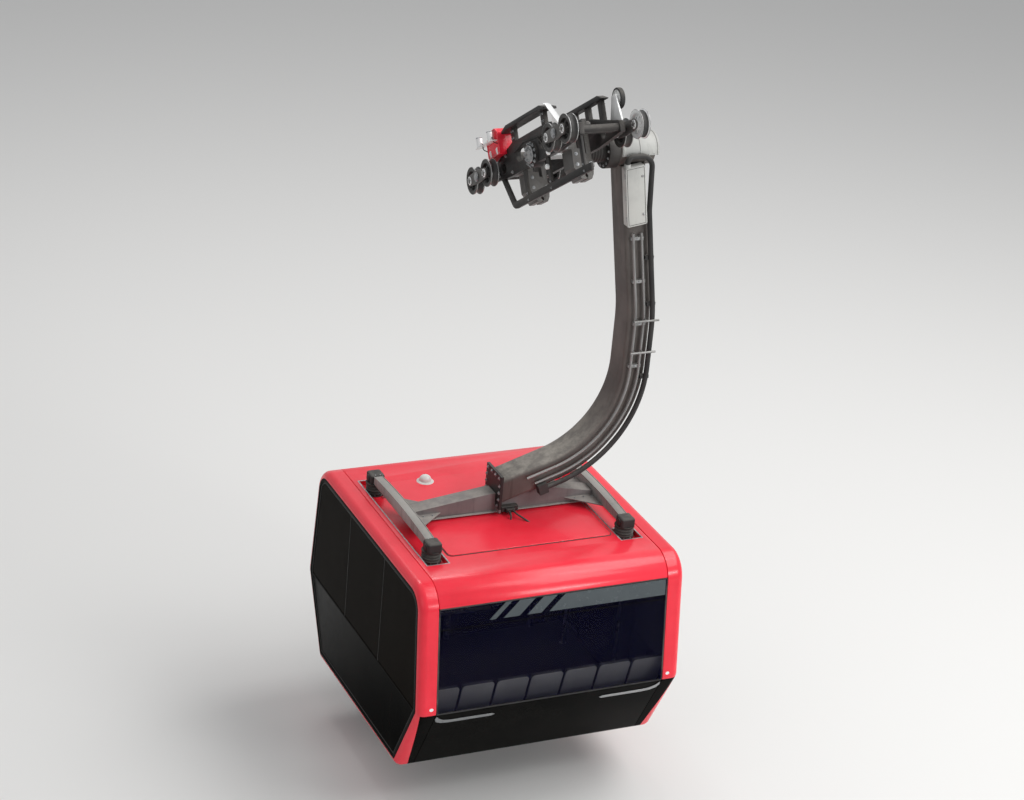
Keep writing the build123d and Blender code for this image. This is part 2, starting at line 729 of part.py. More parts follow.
# Roof beacon: a white dome on a low base
with BuildPart() as beacon:
    with BuildSketch(cabin_deck(roof_rise)):
        with Locations((-600, 900)):
            Circle(110)
    extrude(amount=30)
    with Locations(Pos(cabin_shift - 600, cabin_y + 900, roof_edge + roof_rise + 25)):
        Sphere(75, arc_size1=0, align=(Align.CENTER, Align.CENTER, Align.MIN))
save(beacon.part, "beacon")

# Head cover: a half shell over the hanger's head, closed at its outer end
cover_wall = 9.0
cover_end = head_outer + 36
with BuildPart() as head_cover:
    with BuildSketch(side(head_inner + 12, 0, pivot_lift)):
        Circle(head_r + cover_wall)
    extrude(amount=cover_end + cover_wall - head_inner - 12)
    with BuildSketch(side(head_inner, 0, pivot_lift)):
        Circle(head_r)
    extrude(amount=cover_end - head_inner, mode=Mode.SUBTRACT)
    with BuildSketch(Plane.XY.offset(pivot.Z - 30)):
        with Locations((head_outer, cabin_y)):
            Rectangle(2000, 600)
    extrude(amount=-400, mode=Mode.SUBTRACT)
save(head_cover.part, "head_cover")

# Places along the arm, for what runs on its uphill face
arm_slant = (arm_x - arm_top[0]) / (arm_top[1] - arm_knee[1])
arm_turn = tan(radians((90 - arm_lean) / 2))
arm_face = cabin_y - arm_depth / 2


def arm_line(across, top_z, run):
    """A line beside the arm's centre line: down from a height, round the bend and along the lower run."""
    corner = (arm_x + across, arm_corner[1] - across * arm_turn)
    end = (corner[0] - run * cos(radians(arm_lean)), corner[1] - run * sin(radians(arm_lean)))
    top = (arm_x + across - arm_slant * (top_z - arm_knee[1]), top_z)
    return FilletPolyline(
        top, (arm_x + across, arm_knee[1]), corner, end, radius=(2600.0, arm_bend_r + across)
    )


def arm_place(z):
    """The middle of the arm's uphill face at a height above the bend."""
    x = arm_x - arm_slant * max(0.0, z - arm_knee[1])
    return Plane(origin=(x, arm_face, z), x_dir=(1, 0, 0), z_dir=(0, -1, 0))


# Rails along the arm's uphill face, with brackets and two step bars
rail_gap = 45.0
rail_r = 16.0
rail_across = (-75.0, 35.0)
step_heights = (-1940.0, -2350.0)
with BuildPart() as ladder:
    for across in rail_across:
        with BuildLine(Plane.XZ.offset(-arm_face + rail_gap)) as rail:
            arm_line(across, -830.0, 1300.0)
        with BuildSketch(Plane(origin=rail.line @ 0, z_dir=rail.line % 0)):
            Circle(rail_r)
        sweep(path=rail.line)
    for z in (-900.0, -1450.0, -2000.0, -2550.0):
        with BuildSketch(arm_place(z)):
            with Locations((-20, 0)):
                Rectangle(160, 40)
        extrude(amount=rail_gap)
    for z in step_heights:
        with BuildSketch(Plane(origin=(arm_x - 130, arm_face - rail_gap - 70, z), z_dir=(1, 0, 0))):
            Circle(13)
        extrude(amount=330)
        for across in rail_across:
            with BuildSketch(Plane(origin=(arm_x + across, arm_face - rail_gap, z), z_dir=(0, -1, 0))):
                Circle(12)
            extrude(amount=70)
save(ladder.part, "ladder")

# Hose down the arm's outer edge, with a loop over the panel at its top, on clamps
hose_r = 32.0
hose_gap = 60.0
hose_across = arm_thick / 2 - 10
hose_top = 130.0
hose_in = 820.0
hose_foot = 45.0
hose_back = arm_x + hose_across - arm_slant * (-550.0 - arm_knee[1])
hose_corner = (arm_x + hose_across, arm_corner[1] - hose_across * arm_turn)
hose_run = 1300.0
hose_end = (
    hose_corner[0] - hose_run * cos(radians(arm_lean)), hose_corner[1] - hose_run * sin(radians(arm_lean))
)
with BuildPart() as conduit:
    with BuildLine(Plane.XZ.offset(-arm_face + hose_gap)) as hose:
        FilletPolyline(
            hose_end, hose_corner, (arm_x + hose_across, arm_knee[1]), (hose_back, -550),
            (hose_back - 35, hose_top), (hose_in, hose_top), (hose_in, hose_foot),
            radius=(arm_bend_r + hose_across, 2600.0, 600.0, 150.0, 75.0),
        )
    with BuildSketch(Plane(origin=hose.line @ 0, z_dir=hose.line % 0)):
        Circle(hose_r)
    sweep(path=hose.line)
    for z in (-1150.0, -1750.0, -2700.0):
        with BuildSketch(arm_place(z)):
            with Locations((123, 0)):
                Rectangle(114, 44)
        extrude(amount=hose_gap)
    end_plane = Plane(
        origin=(hose_end[0], arm_face, hose_end[1]),
        x_dir=(sin(radians(arm_lean)), 0, -cos(radians(arm_lean))), z_dir=(0, -1, 0),
    )
    with BuildSketch(end_plane):
        with Locations((-10, 0)):
            Rectangle(130, 120)
    extrude(amount=hose_gap + hose_r + 8)
save(conduit.part, "conduit")

# Panel box on the arm's uphill face, with the gland that the hose's loop comes down to
panel_width = 255.0
panel_length = 740.0
panel_depth = 105.0
arm_tilt = atan(arm_slant)
panel_middle = -345.0
panel_x = arm_x - 42 - arm_slant * (panel_middle - arm_knee[1])
with BuildPart() as control_box:
    panel_plane = Plane(
        origin=(panel_x, arm_face, panel_middle), x_dir=(cos(arm_tilt), 0, sin(arm_tilt)), z_dir=(0, -1, 0)
    )
    with BuildSketch(panel_plane):
        RectangleRounded(panel_width, panel_length, 18)
    extrude(amount=panel_depth)
    with BuildSketch(Plane(origin=(hose_in, arm_face - hose_gap, hose_foot), z_dir=(0, 0, -1))):
        Circle(hose_r + 7)
    extrude(amount=90)
save(control_box.part, "control_box")
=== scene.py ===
"""Looks of a cable car: a closed cabin, its hanger arm and the wheeled carriage above it.

Metres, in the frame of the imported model: +X is the outer side, where the arm and the doors are,
+Y is level and points downhill, +Z is up. The origin lies midway between the two track ropes.
"""

import json
import logging
import math
from dataclasses import dataclass
from enum import Enum
from typing import Iterable, Optional, Sequence, Union

import bmesh
import bpy
from mathutils import Matrix, Quaternion, Vector
from mathutils.bvhtree import BVHTree


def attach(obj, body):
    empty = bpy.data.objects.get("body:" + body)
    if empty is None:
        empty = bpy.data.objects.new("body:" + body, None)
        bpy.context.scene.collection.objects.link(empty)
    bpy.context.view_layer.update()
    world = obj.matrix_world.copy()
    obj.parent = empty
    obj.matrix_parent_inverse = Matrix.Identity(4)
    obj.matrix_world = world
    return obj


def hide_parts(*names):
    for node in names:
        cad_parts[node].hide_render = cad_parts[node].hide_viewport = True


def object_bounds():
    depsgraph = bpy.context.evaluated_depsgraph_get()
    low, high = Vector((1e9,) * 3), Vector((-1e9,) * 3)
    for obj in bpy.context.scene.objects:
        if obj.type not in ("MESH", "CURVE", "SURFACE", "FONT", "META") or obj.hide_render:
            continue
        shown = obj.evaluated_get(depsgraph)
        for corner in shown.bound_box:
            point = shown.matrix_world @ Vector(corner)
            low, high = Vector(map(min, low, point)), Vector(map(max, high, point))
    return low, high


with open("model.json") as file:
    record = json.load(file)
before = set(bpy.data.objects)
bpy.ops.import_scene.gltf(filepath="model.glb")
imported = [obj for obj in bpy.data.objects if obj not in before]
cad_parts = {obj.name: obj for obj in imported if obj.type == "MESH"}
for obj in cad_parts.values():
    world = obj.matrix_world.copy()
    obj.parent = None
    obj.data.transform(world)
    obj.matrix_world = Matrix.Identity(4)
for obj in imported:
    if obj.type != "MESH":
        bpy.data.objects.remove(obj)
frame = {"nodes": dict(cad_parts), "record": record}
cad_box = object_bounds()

log = logging.getLogger("cable_car")

Colour = tuple[float, float, float]
Place = tuple[float, float, float]
Pairs = Sequence[tuple[float, float]]
Spot = tuple[Vector, Vector]
Value = Union["Field", float, int, bool, tuple, bpy.types.ID]

SLOPE = math.radians(32)
DOWNHILL = Vector((0, math.cos(SLOPE), -math.sin(SLOPE)))
LIFT = Vector((0, math.sin(SLOPE), math.cos(SLOPE)))
ACROSS = Vector((1, 0, 0))
UP = Vector((0, 0, 1))
UPHILL_WAY = Vector((0, -1, 0))
PIVOT = LIFT * 0.17
CABIN = Vector((-0.30, PIVOT.y, -4.55))
SLOTS = {part["node"]: part["material_slot"] for part in frame["record"]["subparts"]}
BODY_OF = {node: body for body, nodes in frame["record"]["behaviour"]["bodies"].items() for node in nodes}
SIGNS = (-1, 1)
SIDES = ((-1, "inner"), (1, "outer"))
CORNERS = tuple((sx, sy) for sx in SIGNS for sy in SIGNS)
PINHOLE = 0.0005
DUST: Colour = (0.36, 0.33, 0.29)
GRIME: Colour = (0.035, 0.03, 0.026)


def on_ropes(x: float, u: float, v: float) -> Vector:
    """A place on the carriage: x across, u downhill along the ropes, v square above them."""
    return DOWNHILL * u + LIFT * v + Vector((x, 0, 0))


def in_cabin(x: float, y: float, z: float) -> Vector:
    """A place measured from the middle of the cabin's roof edge."""
    return CABIN + Vector((x, y, z))


class End(Enum):
    """The two ends of the cabin and of the carriage."""

    UPHILL = -1
    DOWNHILL = 1

    @property
    def word(self) -> str:
        """The end's name as the nodes write it."""
        return self.name.lower()


class Field:
    """An output socket that takes part in Python maths."""

    def __init__(self, graph: "Graph", socket: bpy.types.NodeSocket) -> None:
        """Wraps an output socket of a graph."""
        self.graph = graph
        self.socket = socket

    def __add__(self, other: Value) -> "Field":
        """The sum."""
        return self.graph.maths("ADD", self, other)

    def __sub__(self, other: Value) -> "Field":
        """The difference."""
        return self.graph.maths("SUBTRACT", self, other)

    def __rsub__(self, other: Value) -> "Field":
        """The difference from a number."""
        return self.graph.maths("SUBTRACT", other, self)

    def __mul__(self, other: Value) -> "Field":
        """The product."""
        return self.graph.maths("MULTIPLY", self, other)

    def __abs__(self) -> "Field":
        """The size without its sign."""
        return self.graph.maths("ABSOLUTE", self)

    __radd__ = __add__
    __rmul__ = __mul__


class Graph:
    """A node tree with one way of making nodes."""

    def __init__(self, tree: bpy.types.NodeTree) -> None:
        """Starts from an empty tree."""
        self.tree = tree
        tree.nodes.clear()

    def node(self, kind: str, sockets: Optional[dict] = None, **settings: str) -> bpy.types.Node:
        """Makes a node.

        Args:
            kind: the node's type.
            sockets: values or links of its inputs, by name or number.
            settings: its properties, set first.

        Returns:
            The node.
        """
        made = self.tree.nodes.new(kind)
        for key, value in settings.items():
            setattr(made, key, value)
        for key, value in (sockets or {}).items():
            self.feed(made.inputs[key], value)
        return made

    def field(self, kind: str, sockets: dict, key: Union[str, int] = 0, **settings: str) -> Field:
        """One output of a new node."""
        return self.out(self.node(kind, sockets, **settings), key)

    def out(self, node: bpy.types.Node, key: Union[str, int] = 0) -> Field:
        """One output of a node."""
        return Field(self, node.outputs[key])

    def feed(self, socket: bpy.types.NodeSocket, value: Value) -> None:
        """Links a field to an input, or sets the input to a value.

        Args:
            socket: the input.
            value: a field, a number, a vector or a colour.
        """
        if isinstance(value, Field):
            self.tree.links.new(value.socket, socket)
        elif socket.type == "RGBA" and len(value) == 3:
            socket.default_value = (*value, 1)
        else:
            socket.default_value = value

    def maths(self, operation: str, *values: Value) -> Field:
        """A Math node on numbers."""
        return self.field("ShaderNodeMath", dict(enumerate(values)), operation=operation)


class Surface(Graph):
    """The node tree of one material."""

    def __init__(self, title: str) -> None:
        """Makes an empty material of that name.

        Args:
            title: the material's name.
        """
        self.material = bpy.data.materials.new(title)
        self.material.use_nodes = True
        super().__init__(self.material.node_tree)
        self.where = self.node("ShaderNodeTexCoord")

    def place(self, stretch: Place = (1, 1, 1)) -> Field:
        """Object coordinates, stretched along each axis."""
        sockets = {"Vector": self.out(self.where, "Object"), "Scale": stretch}
        return self.field("ShaderNodeMapping", sockets, vector_type="POINT")

    def facing_up(self) -> Field:
        """The upward part of the normal."""
        return self.field("ShaderNodeSeparateXYZ", {0: self.out(self.where, "Normal")}, "Z")

    def noise(self, scale: float, detail: float = 4.0, rough: float = 0.55,
              stretch: Place = (1, 1, 1)) -> Field:
        """Fractal noise from 0 to 1; scale is per metre."""
        sockets = {"Vector": self.place(stretch), "Scale": scale, "Detail": detail, "Roughness": rough}
        return self.field("ShaderNodeTexNoise", sockets, "Fac", noise_dimensions="3D")

    def cells(self, scale: float, feature: str = "F1", stretch: Place = (1, 1, 1),
              wander: float = 1.0) -> Field:
        """Distance in a cell pattern; scale is per metre."""
        sockets = {"Vector": self.place(stretch), "Scale": scale, "Randomness": wander}
        return self.field("ShaderNodeTexVoronoi", sockets, "Distance", feature=feature)

    def spread(self, value: Field, low: float, high: float) -> Field:
        """A smooth step of a field from low to high."""
        sockets = {"Value": value, "From Min": low, "From Max": high}
        return self.field("ShaderNodeMapRange", sockets, interpolation_type="SMOOTHSTEP")

    def mix(self, factor: Value, first: Value, second: Value) -> Field:
        """A blend of two colours."""
        return self.field("ShaderNodeMix", {0: factor, 6: first, 7: second}, 2, data_type="RGBA")

    def bump(self, height: Field, depth: float) -> Field:
        """A normal from a height field; depth is in metres."""
        return self.field("ShaderNodeBump", {"Height": height, "Distance": depth, "Strength": 1.0})

    def finish(self, sockets: dict[str, Value]) -> bpy.types.Material:
        """The material, its tree ended in one principled shader with these inputs.

        Args:
            sockets: the shader's inputs by name.

        Returns:
            The material.
        """
        shader = self.field("ShaderNodeBsdfPrincipled", sockets)
        self.node("ShaderNodeOutputMaterial", {"Surface": shader})
        return self.material


@dataclass(frozen=True)
class Finish:
    """A hard finish: its colours, gloss, grain and weathering.

    Args:
        title: the finish's name.
        colour: main colour.
        patches: colour of its broad patches.
        roughness: mean roughness.
        metallic: 1 for bare metal.
        coat: weight of a clear lacquer.
        grain: scale of the surface's grain, per metre.
        depth: depth of the grain in metres.
        dust: cover of dust on faces that look up.
        streaks: strength of the runs down upright faces.
        chips: share of the surface where the finish is gone.
        under: colour under the chips.
        shine: level of the reflection under the lacquer.
        veil: roughness of the lacquer.
    """

    title: str
    colour: Colour
    patches: Colour
    roughness: float = 0.5
    metallic: float = 0.0
    coat: float = 0.0
    grain: float = 260.0
    depth: float = 0.0004
    dust: float = 0.0
    streaks: float = 0.0
    chips: float = 0.0
    under: Colour = (0.11, 0.06, 0.035)
    shine: float = 0.5
    veil: float = 0.15

    def build(self) -> bpy.types.Material:
        """The material of the finish.

        Returns:
            The material.
        """
        g = Surface(self.title)
        fine = g.noise(self.grain, 5)
        broad = g.noise(1.7, 4, 0.6)
        colour = g.mix(g.spread(broad, 0.38, 0.68), self.colour, self.patches)
        rough = self.roughness + (g.noise(9, 5, 0.65) - 0.5) * 0.22 + (fine - 0.5) * 0.08
        height = fine
        coat: Value = self.coat
        up = g.facing_up()
        if self.streaks:
            runs = g.spread(g.noise(7, 5, 0.6, (2.2, 2.2, 0.16)), 0.5, 0.78) * (1 - abs(up)) * self.streaks
            colour = g.mix(runs, colour, GRIME)
            rough = rough + runs * 0.25
        if self.chips:
            spots = g.spread(g.noise(34, 7, 0.72), 0.72 - self.chips, 0.75 - self.chips)
            spots = spots * g.spread(g.noise(3.1, 3), 0.42, 0.62)
            colour = g.mix(spots, colour, self.under)
            rough = rough + spots * 0.25
            height = height - spots * 1.5
        if self.dust:
            patchy = 0.35 + 0.65 * g.spread(g.noise(6, 6, 0.7), 0.35, 0.65)
            film = g.spread(up, 0.2, 0.95) * patchy * self.dust
            colour = g.mix(film, colour, DUST)
            rough = rough + film * 0.3
            if self.coat:
                coat = self.coat * (1 - film * 0.8)
        return g.finish({
            "Base Color": colour, "Roughness": rough, "Metallic": self.metallic,
            "Specular IOR Level": self.shine,
            "Coat Weight": coat, "Coat Roughness": self.veil, "Normal": g.bump(height, self.depth),
        })


@dataclass(frozen=True)
class Glazing:
    """Tinted glazing with a film of dirt.

    Args:
        title: the finish's name.
        colour: the tint.
        alpha: how much the tint hides what is behind.
        shine: level of the reflection.
    """

    title: str
    colour: Colour
    alpha: float
    shine: float

    def build(self) -> bpy.types.Material:
        """The material of the glazing.

        Returns:
            The material.
        """
        g = Surface(self.title)
        film = g.spread(g.noise(3, 6, 0.65, (1.5, 1.5, 0.4)), 0.45, 0.8) * 0.012
        specks = g.spread(g.noise(60, 4, 0.7), 0.66, 0.72) * 0.015
        return g.finish({
            "Base Color": g.mix(film + specks, self.colour, DUST),
            "Roughness": 0.05 + film * 3.0 + specks * 2.0,
            "IOR": 1.33, "Specular IOR Level": self.shine, "Alpha": self.alpha + film + specks,
            "Normal": g.bump(g.noise(2.2, 2), 0.0015),
        })


@dataclass(frozen=True)
class Galvanised:
    """Dull zinc with its spangle and white stains.

    Args:
        title: the finish's name.
        colour: main colour.
        dull: roughness.
    """

    title: str
    colour: Colour
    dull: float

    def build(self) -> bpy.types.Material:
        """The material of the zinc.

        Returns:
            The material.
        """
        g = Surface(self.title)
        spangle = g.cells(55)
        stain = g.spread(g.noise(8, 6, 0.7), 0.48, 0.66)
        colour = g.mix(g.spread(spangle, 0.1, 0.8), self.colour, tuple(c * 0.72 for c in self.colour))
        runs = g.spread(g.noise(9, 5, 0.6, (2, 2, 0.2)), 0.52, 0.75) * 0.5
        colour = g.mix(stain * 0.35, colour, (0.62, 0.62, 0.6))
        return g.finish({
            "Base Color": g.mix(runs, colour, (0.12, 0.11, 0.1)), "Metallic": 0.85 - stain * 0.45,
            "Roughness": self.dull + stain * 0.25 + (spangle - 0.4) * 0.15,
            "Normal": g.bump(g.noise(420, 4), 0.0003),
        })


@dataclass(frozen=True)
class Hide:
    """Grained artificial leather with a soft sheen.

    Args:
        title: the finish's name.
        colour: main colour.
    """

    title: str
    colour: Colour

    def build(self) -> bpy.types.Material:
        """The material of the hide.

        Returns:
            The material.
        """
        g = Surface(self.title)
        pores = g.cells(700, "SMOOTH_F1")
        creases = g.spread(g.noise(46, 5, 0.6), 0.4, 0.7)
        worn = g.spread(g.noise(5, 4), 0.45, 0.75)
        lighter = tuple(min(1.0, c * 1.7 + 0.01) for c in self.colour)
        return g.finish({
            "Base Color": g.mix(worn * 0.7, self.colour, lighter), "Sheen Weight": 0.15,
            "Roughness": 0.55 - worn * 0.12 + creases * 0.1,
            "Normal": g.bump(pores * 0.5 + creases * 0.5, 0.0009),
        })


@dataclass(frozen=True)
class Studded:
    """Floor rubber with round studs and a walked-in shine.

    Args:
        title: the finish's name.
        colour: main colour.
        pitch: distance between studs in metres.
    """

    title: str
    colour: Colour
    pitch: float

    def build(self) -> bpy.types.Material:
        """The material of the floor.

        Returns:
            The material.
        """
        g = Surface(self.title)
        studs = 1 - g.spread(g.cells(1 / self.pitch, stretch=(1, 1, 0), wander=0.0), 0.28, 0.36)
        scuff = g.spread(g.noise(7, 6, 0.7), 0.42, 0.7)
        return g.finish({
            "Base Color": g.mix(scuff * 0.5, self.colour, tuple(c * 2.2 for c in self.colour)),
            "Roughness": 0.7 - studs * 0.2 + scuff * 0.1, "Normal": g.bump(studs, 0.002),
        })


class Finishes(Enum):
    """The finishes of the car."""

    RED = Finish("red_lacquer", (0.9, 0.02, 0.046), (0.84, 0.015, 0.037), 0.4, coat=0.7, grain=90,
                 depth=0.0002,
                 dust=0.04, streaks=0.1, shine=0.12, veil=0.2)
    BLACK = Finish("black_gloss", (0.003, 0.003, 0.0028), (0.006, 0.0057, 0.005), 0.22, grain=80,
                   depth=0.0002,
                   dust=0.03, streaks=0.08, shine=0.01)
    # Near black on the hoops' inner faces: painted shade for the inside of the cabin.
    LINING = Finish("lining_panel", (0.02, 0.02, 0.021), (0.03, 0.029, 0.028), 0.6, grain=400, dust=0.1,
                    shine=0.2)
    SIDE_GLASS = Glazing("tinted_side_glazing", (0.006, 0.0042, 0.0026), 0.96, 0.012)
    END_GLASS = Glazing("tinted_end_glazing", (0.003, 0.003, 0.016), 0.38, 0.12)
    # Grey glaze on the band across the end windows' top: painted reflection.
    BAND = Finish("band_glaze", (0.055, 0.07, 0.078), (0.045, 0.058, 0.066), 0.25, grain=300, depth=0.0001,
                  dust=0.1)
    ARM = Finish("arm_paint", (0.095, 0.084, 0.077), (0.135, 0.12, 0.11), 0.6, grain=180, dust=0.85,
                 streaks=0.4,
                 chips=0.06, shine=0.3)
    BEAM = Finish("beam_paint", (0.16, 0.142, 0.14), (0.12, 0.105, 0.105), 0.6, grain=180, dust=0.6,
                  streaks=0.4,
                  chips=0.05)
    BARS = Finish("bar_paint", (0.33, 0.315, 0.3), (0.25, 0.24, 0.23), 0.6, grain=180, dust=0.5, streaks=0.5,
                  chips=0.05)
    RUBBER = Finish("black_rubber", (0.016, 0.016, 0.016), (0.03, 0.029, 0.028), 0.75, grain=500, dust=0.25)
    ZINC = Galvanised("galvanised_steel", (0.42, 0.43, 0.44), 0.45)
    BOX = Finish("cabinet_paint", (0.5, 0.5, 0.47), (0.42, 0.42, 0.4), 0.45, grain=420, depth=0.0003,
                 dust=0.2,
                 streaks=0.45)
    CASTING = Finish("greased_casting", (0.022, 0.021, 0.021), (0.042, 0.038, 0.035), 0.5, metallic=0.2,
                     grain=150,
                     depth=0.0009, dust=0.2, streaks=0.3, chips=0.08, under=(0.14, 0.13, 0.12), shine=0.3)
    MACHINED = Finish("machined_steel", (0.34, 0.34, 0.34), (0.2, 0.19, 0.18), 0.35, metallic=1.0, grain=600,
                      depth=0.0002, streaks=0.35)
    DRIVE = Finish("lined_plate", (0.024, 0.024, 0.025), (0.045, 0.043, 0.041), 0.55, metallic=0.2, grain=300,
                   dust=0.25, shine=0.3)
    ALLOY = Finish("bright_alloy", (0.9, 0.9, 0.89), (0.78, 0.78, 0.77), 0.35, metallic=0.25, grain=350,
                   depth=0.0003, streaks=0.2)
    WHEEL = Finish("roller_paint", (0.04, 0.039, 0.038), (0.075, 0.07, 0.066), 0.45, metallic=0.3, grain=300,
                   streaks=0.3, chips=0.12, under=(0.28, 0.27, 0.26), shine=0.35)
    LINER = Finish("roller_liner", (0.02, 0.02, 0.02), (0.05, 0.045, 0.04), 0.6, grain=320, depth=0.0006)
    FLOOR = Studded("floor_rubber", (0.035, 0.035, 0.038), 0.03)
    SATIN = Finish("satin_steel", (0.55, 0.55, 0.56), (0.45, 0.45, 0.46), 0.28, metallic=1.0, grain=800,
                   depth=0.0001)
    SEATS = Hide("seat_hide", (0.06, 0.062, 0.07))
    WHITE = Finish("white_moulding", (0.8, 0.79, 0.76), (0.7, 0.68, 0.64), 0.35, grain=300, depth=0.0002,
                   dust=0.25,
                   streaks=0.2)
    LAMP = Finish("lamp_lens", (0.85, 0.85, 0.86), (0.8, 0.8, 0.8), 0.12, coat=1.0, grain=60, depth=0.0002)
    GRIP = Finish("grip_paint", (0.13, 0.125, 0.12), (0.08, 0.075, 0.07), 0.5, metallic=0.3, grain=150,
                  depth=0.0008, dust=0.35, streaks=0.4, chips=0.1, under=(0.24, 0.23, 0.22))
    RAIL = Finish("rail_zinc", (0.3, 0.3, 0.295), (0.22, 0.22, 0.215), 0.5, metallic=0.6, grain=300,
                  depth=0.0002,
                  dust=0.3, streaks=0.3)
    MOULDING = Finish("grey_moulding", (0.56, 0.56, 0.57), (0.48, 0.48, 0.49), 0.5, grain=500, depth=0.0003,
                      dust=0.1, streaks=0.1)
    TRIM = Finish("silver_trim", (0.34, 0.35, 0.36), (0.28, 0.29, 0.3), 0.3, metallic=0.7, grain=300,
                  depth=0.0001,
                  dust=0.2)


SLOT_FINISH: dict[str, Finishes] = {
    "red_paint": Finishes.RED, "black_gloss": Finishes.BLACK, "tinted_glass": Finishes.SIDE_GLASS,
    "arm_paint": Finishes.ARM, "bar_paint": Finishes.BARS, "rubber": Finishes.RUBBER,
    "galvanised": Finishes.ZINC, "box_paint": Finishes.BOX, "dark_steel": Finishes.CASTING,
    "jaw_steel": Finishes.MACHINED, "drive_plate": Finishes.DRIVE, "bright_alloy": Finishes.ALLOY,
    "roller": Finishes.WHEEL, "guide_wheel": Finishes.LINER, "floor_rubber": Finishes.FLOOR,
    "interior_metal": Finishes.SATIN, "seat_cover": Finishes.SEATS, "white_plastic": Finishes.WHITE,
}
FINISH_SLOT: dict[Finishes, str] = {finish: slot for slot, finish in SLOT_FINISH.items()} | {
    Finishes.TRIM: "bright_alloy", Finishes.LAMP: "white_plastic", Finishes.BAND: "tinted_glass",
    Finishes.MOULDING: "interior_metal",
}


def linked(name: str, data: bpy.types.ID) -> bpy.types.Object:
    """A new object that stands in the scene.

    Args:
        name: the object's name.
        data: its mesh, camera or lamp.

    Returns:
        The object.
    """
    made = bpy.data.objects.new(name, data)
    bpy.context.scene.collection.objects.link(made)
    return made


def settled(carrier: bpy.types.Object, name: str) -> bpy.types.Mesh:
    """The evaluated mesh of an object, which is then removed.

    Args:
        carrier: the object.
        name: the new mesh's name.

    Returns:
        The mesh.
    """
    graph = bpy.context.evaluated_depsgraph_get()
    data = bpy.data.meshes.new_from_object(carrier.evaluated_get(graph))
    source = carrier.data
    bpy.data.objects.remove(carrier)
    bpy.data.meshes.remove(source)
    data.name = name
    return data


def modified(data: bpy.types.Mesh, name: str, kind: str, **settings: Value) -> bpy.types.Mesh:
    """A mesh after one modifier.

    Args:
        data: the mesh, which is then removed.
        name: the new mesh's name.
        kind: the modifier's type.
        settings: its properties.

    Returns:
        The new mesh.
    """
    carrier = linked("carrier", data)
    modifier = carrier.modifiers.new("change", kind)
    for key, value in settings.items():
        setattr(modifier, key, value)
    return settled(carrier, name)


class Form:
    """A mesh in the making."""

    def __init__(self) -> None:
        """Starts empty."""
        self.bm = bmesh.new()

    def loft(self, rings: Sequence[Sequence[Vector]], along: bool = False, ends: bool = False) -> "Form":
        """Joins closed rings of equal length with four-sided faces.

        Args:
            rings: the rings, in order.
            along: the last ring joins the first.
            ends: the first and the last ring are filled.

        Returns:
            This form.
        """
        rows = [[self.bm.verts.new(point) for point in ring] for ring in rings]
        count = len(rows[0])
        made = []
        for i in range(len(rows) if along else len(rows) - 1):
            low, high = rows[i], rows[(i + 1) % len(rows)]
            for j in range(count):
                k = (j + 1) % count
                made.append(self.bm.faces.new((low[j], low[k], high[k], high[j])))
        if ends:
            made += [self.bm.faces.new(row) for row in (rows[0], rows[-1])]
        bmesh.ops.recalc_face_normals(self.bm, faces=made)
        return self

    def prism(self, outline: Sequence[Vector], depth: Vector) -> "Form":
        """A flat outline drawn out along a vector."""
        return self.loft([outline, [point + depth for point in outline]], ends=True)

    def slab(self, low: Vector, high: Vector) -> "Form":
        """A block between two corners."""
        base = [Vector((x, y, low.z))
                for x, y in ((low.x, low.y), (high.x, low.y), (high.x, high.y), (low.x, high.y))]
        return self.prism(base, Vector((0, 0, high.z - low.z)))

    def lathe(self, profile: Pairs, centre: Vector, axis: Vector, steps: int = 48) -> "Form":
        """A closed profile turned round an axis.

        Args:
            profile: pairs of place along the axis and radius.
            centre: a point of the axis.
            axis: its direction.
            steps: faces in a turn.

        Returns:
            This form.
        """
        turn = axis.to_track_quat("Z", "Y")
        rings = []
        for i in range(steps):
            angle = math.tau * i / steps
            spoke = Vector((math.cos(angle), math.sin(angle), 0))
            rings.append([centre + turn @ (spoke * radius + Vector((0, 0, along)))
                          for along, radius in profile])
        return self.loft(rings, along=True)

    def node(self, name: str) -> "Form":
        """A merged copy of a model node, with its flat faces whole again.

        Args:
            name: the node's name.

        Returns:
            This form.
        """
        bm = self.bm
        bm.from_mesh(frame["nodes"][name].data)
        bmesh.ops.remove_doubles(bm, verts=bm.verts, dist=2e-5)
        flat = math.radians(0.8)
        bmesh.ops.dissolve_limit(bm, angle_limit=flat, verts=bm.verts, edges=bm.edges, delimit={"NORMAL"})
        return self

    def mesh(self, name: str, bevel: float = 0.0, segments: int = 2, sharp: float = 38.0) -> bpy.types.Mesh:
        """Ends the form.

        Args:
            name: the mesh's name.
            bevel: width of the rounded edges in metres.
            segments: faces across a rounded edge.
            sharp: angle in degrees past which an edge stays sharp, where none is rounded.

        Returns:
            The finished mesh.
        """
        data = bpy.data.meshes.new(name)
        self.bm.to_mesh(data)
        self.bm.free()
        data.polygons.foreach_set("use_smooth", [True] * len(data.polygons))
        if bevel:
            return modified(data, name, "BEVEL", width=bevel, segments=segments, limit_method="ANGLE",
                            angle_limit=math.radians(28), harden_normals=True)
        data.set_sharp_from_angle(angle=math.radians(sharp))
        return data


def mirrored(half: Pairs) -> Pairs:
    """A wheel's whole profile from the half on one side."""
    return [*half, *((-x, radius) for x, radius in reversed(half))]


def washer(inner: float, outer: float, thick: float) -> Pairs:
    """The profile of a flat ring."""
    return [(0, inner), (0, outer), (thick, outer), (thick, inner)]


def cap(low: float, radius: float, shoulder: float, top: float, crown: float) -> Pairs:
    """The profile of a turned cap.

    Args:
        low: where it starts along the axis.
        radius: its radius.
        shoulder: where its slope begins.
        top: where it ends.
        crown: its radius there.

    Returns:
        The profile.
    """
    return [(low, PINHOLE), (low, radius), (shoulder, radius), (top, crown), (top, PINHOLE)]


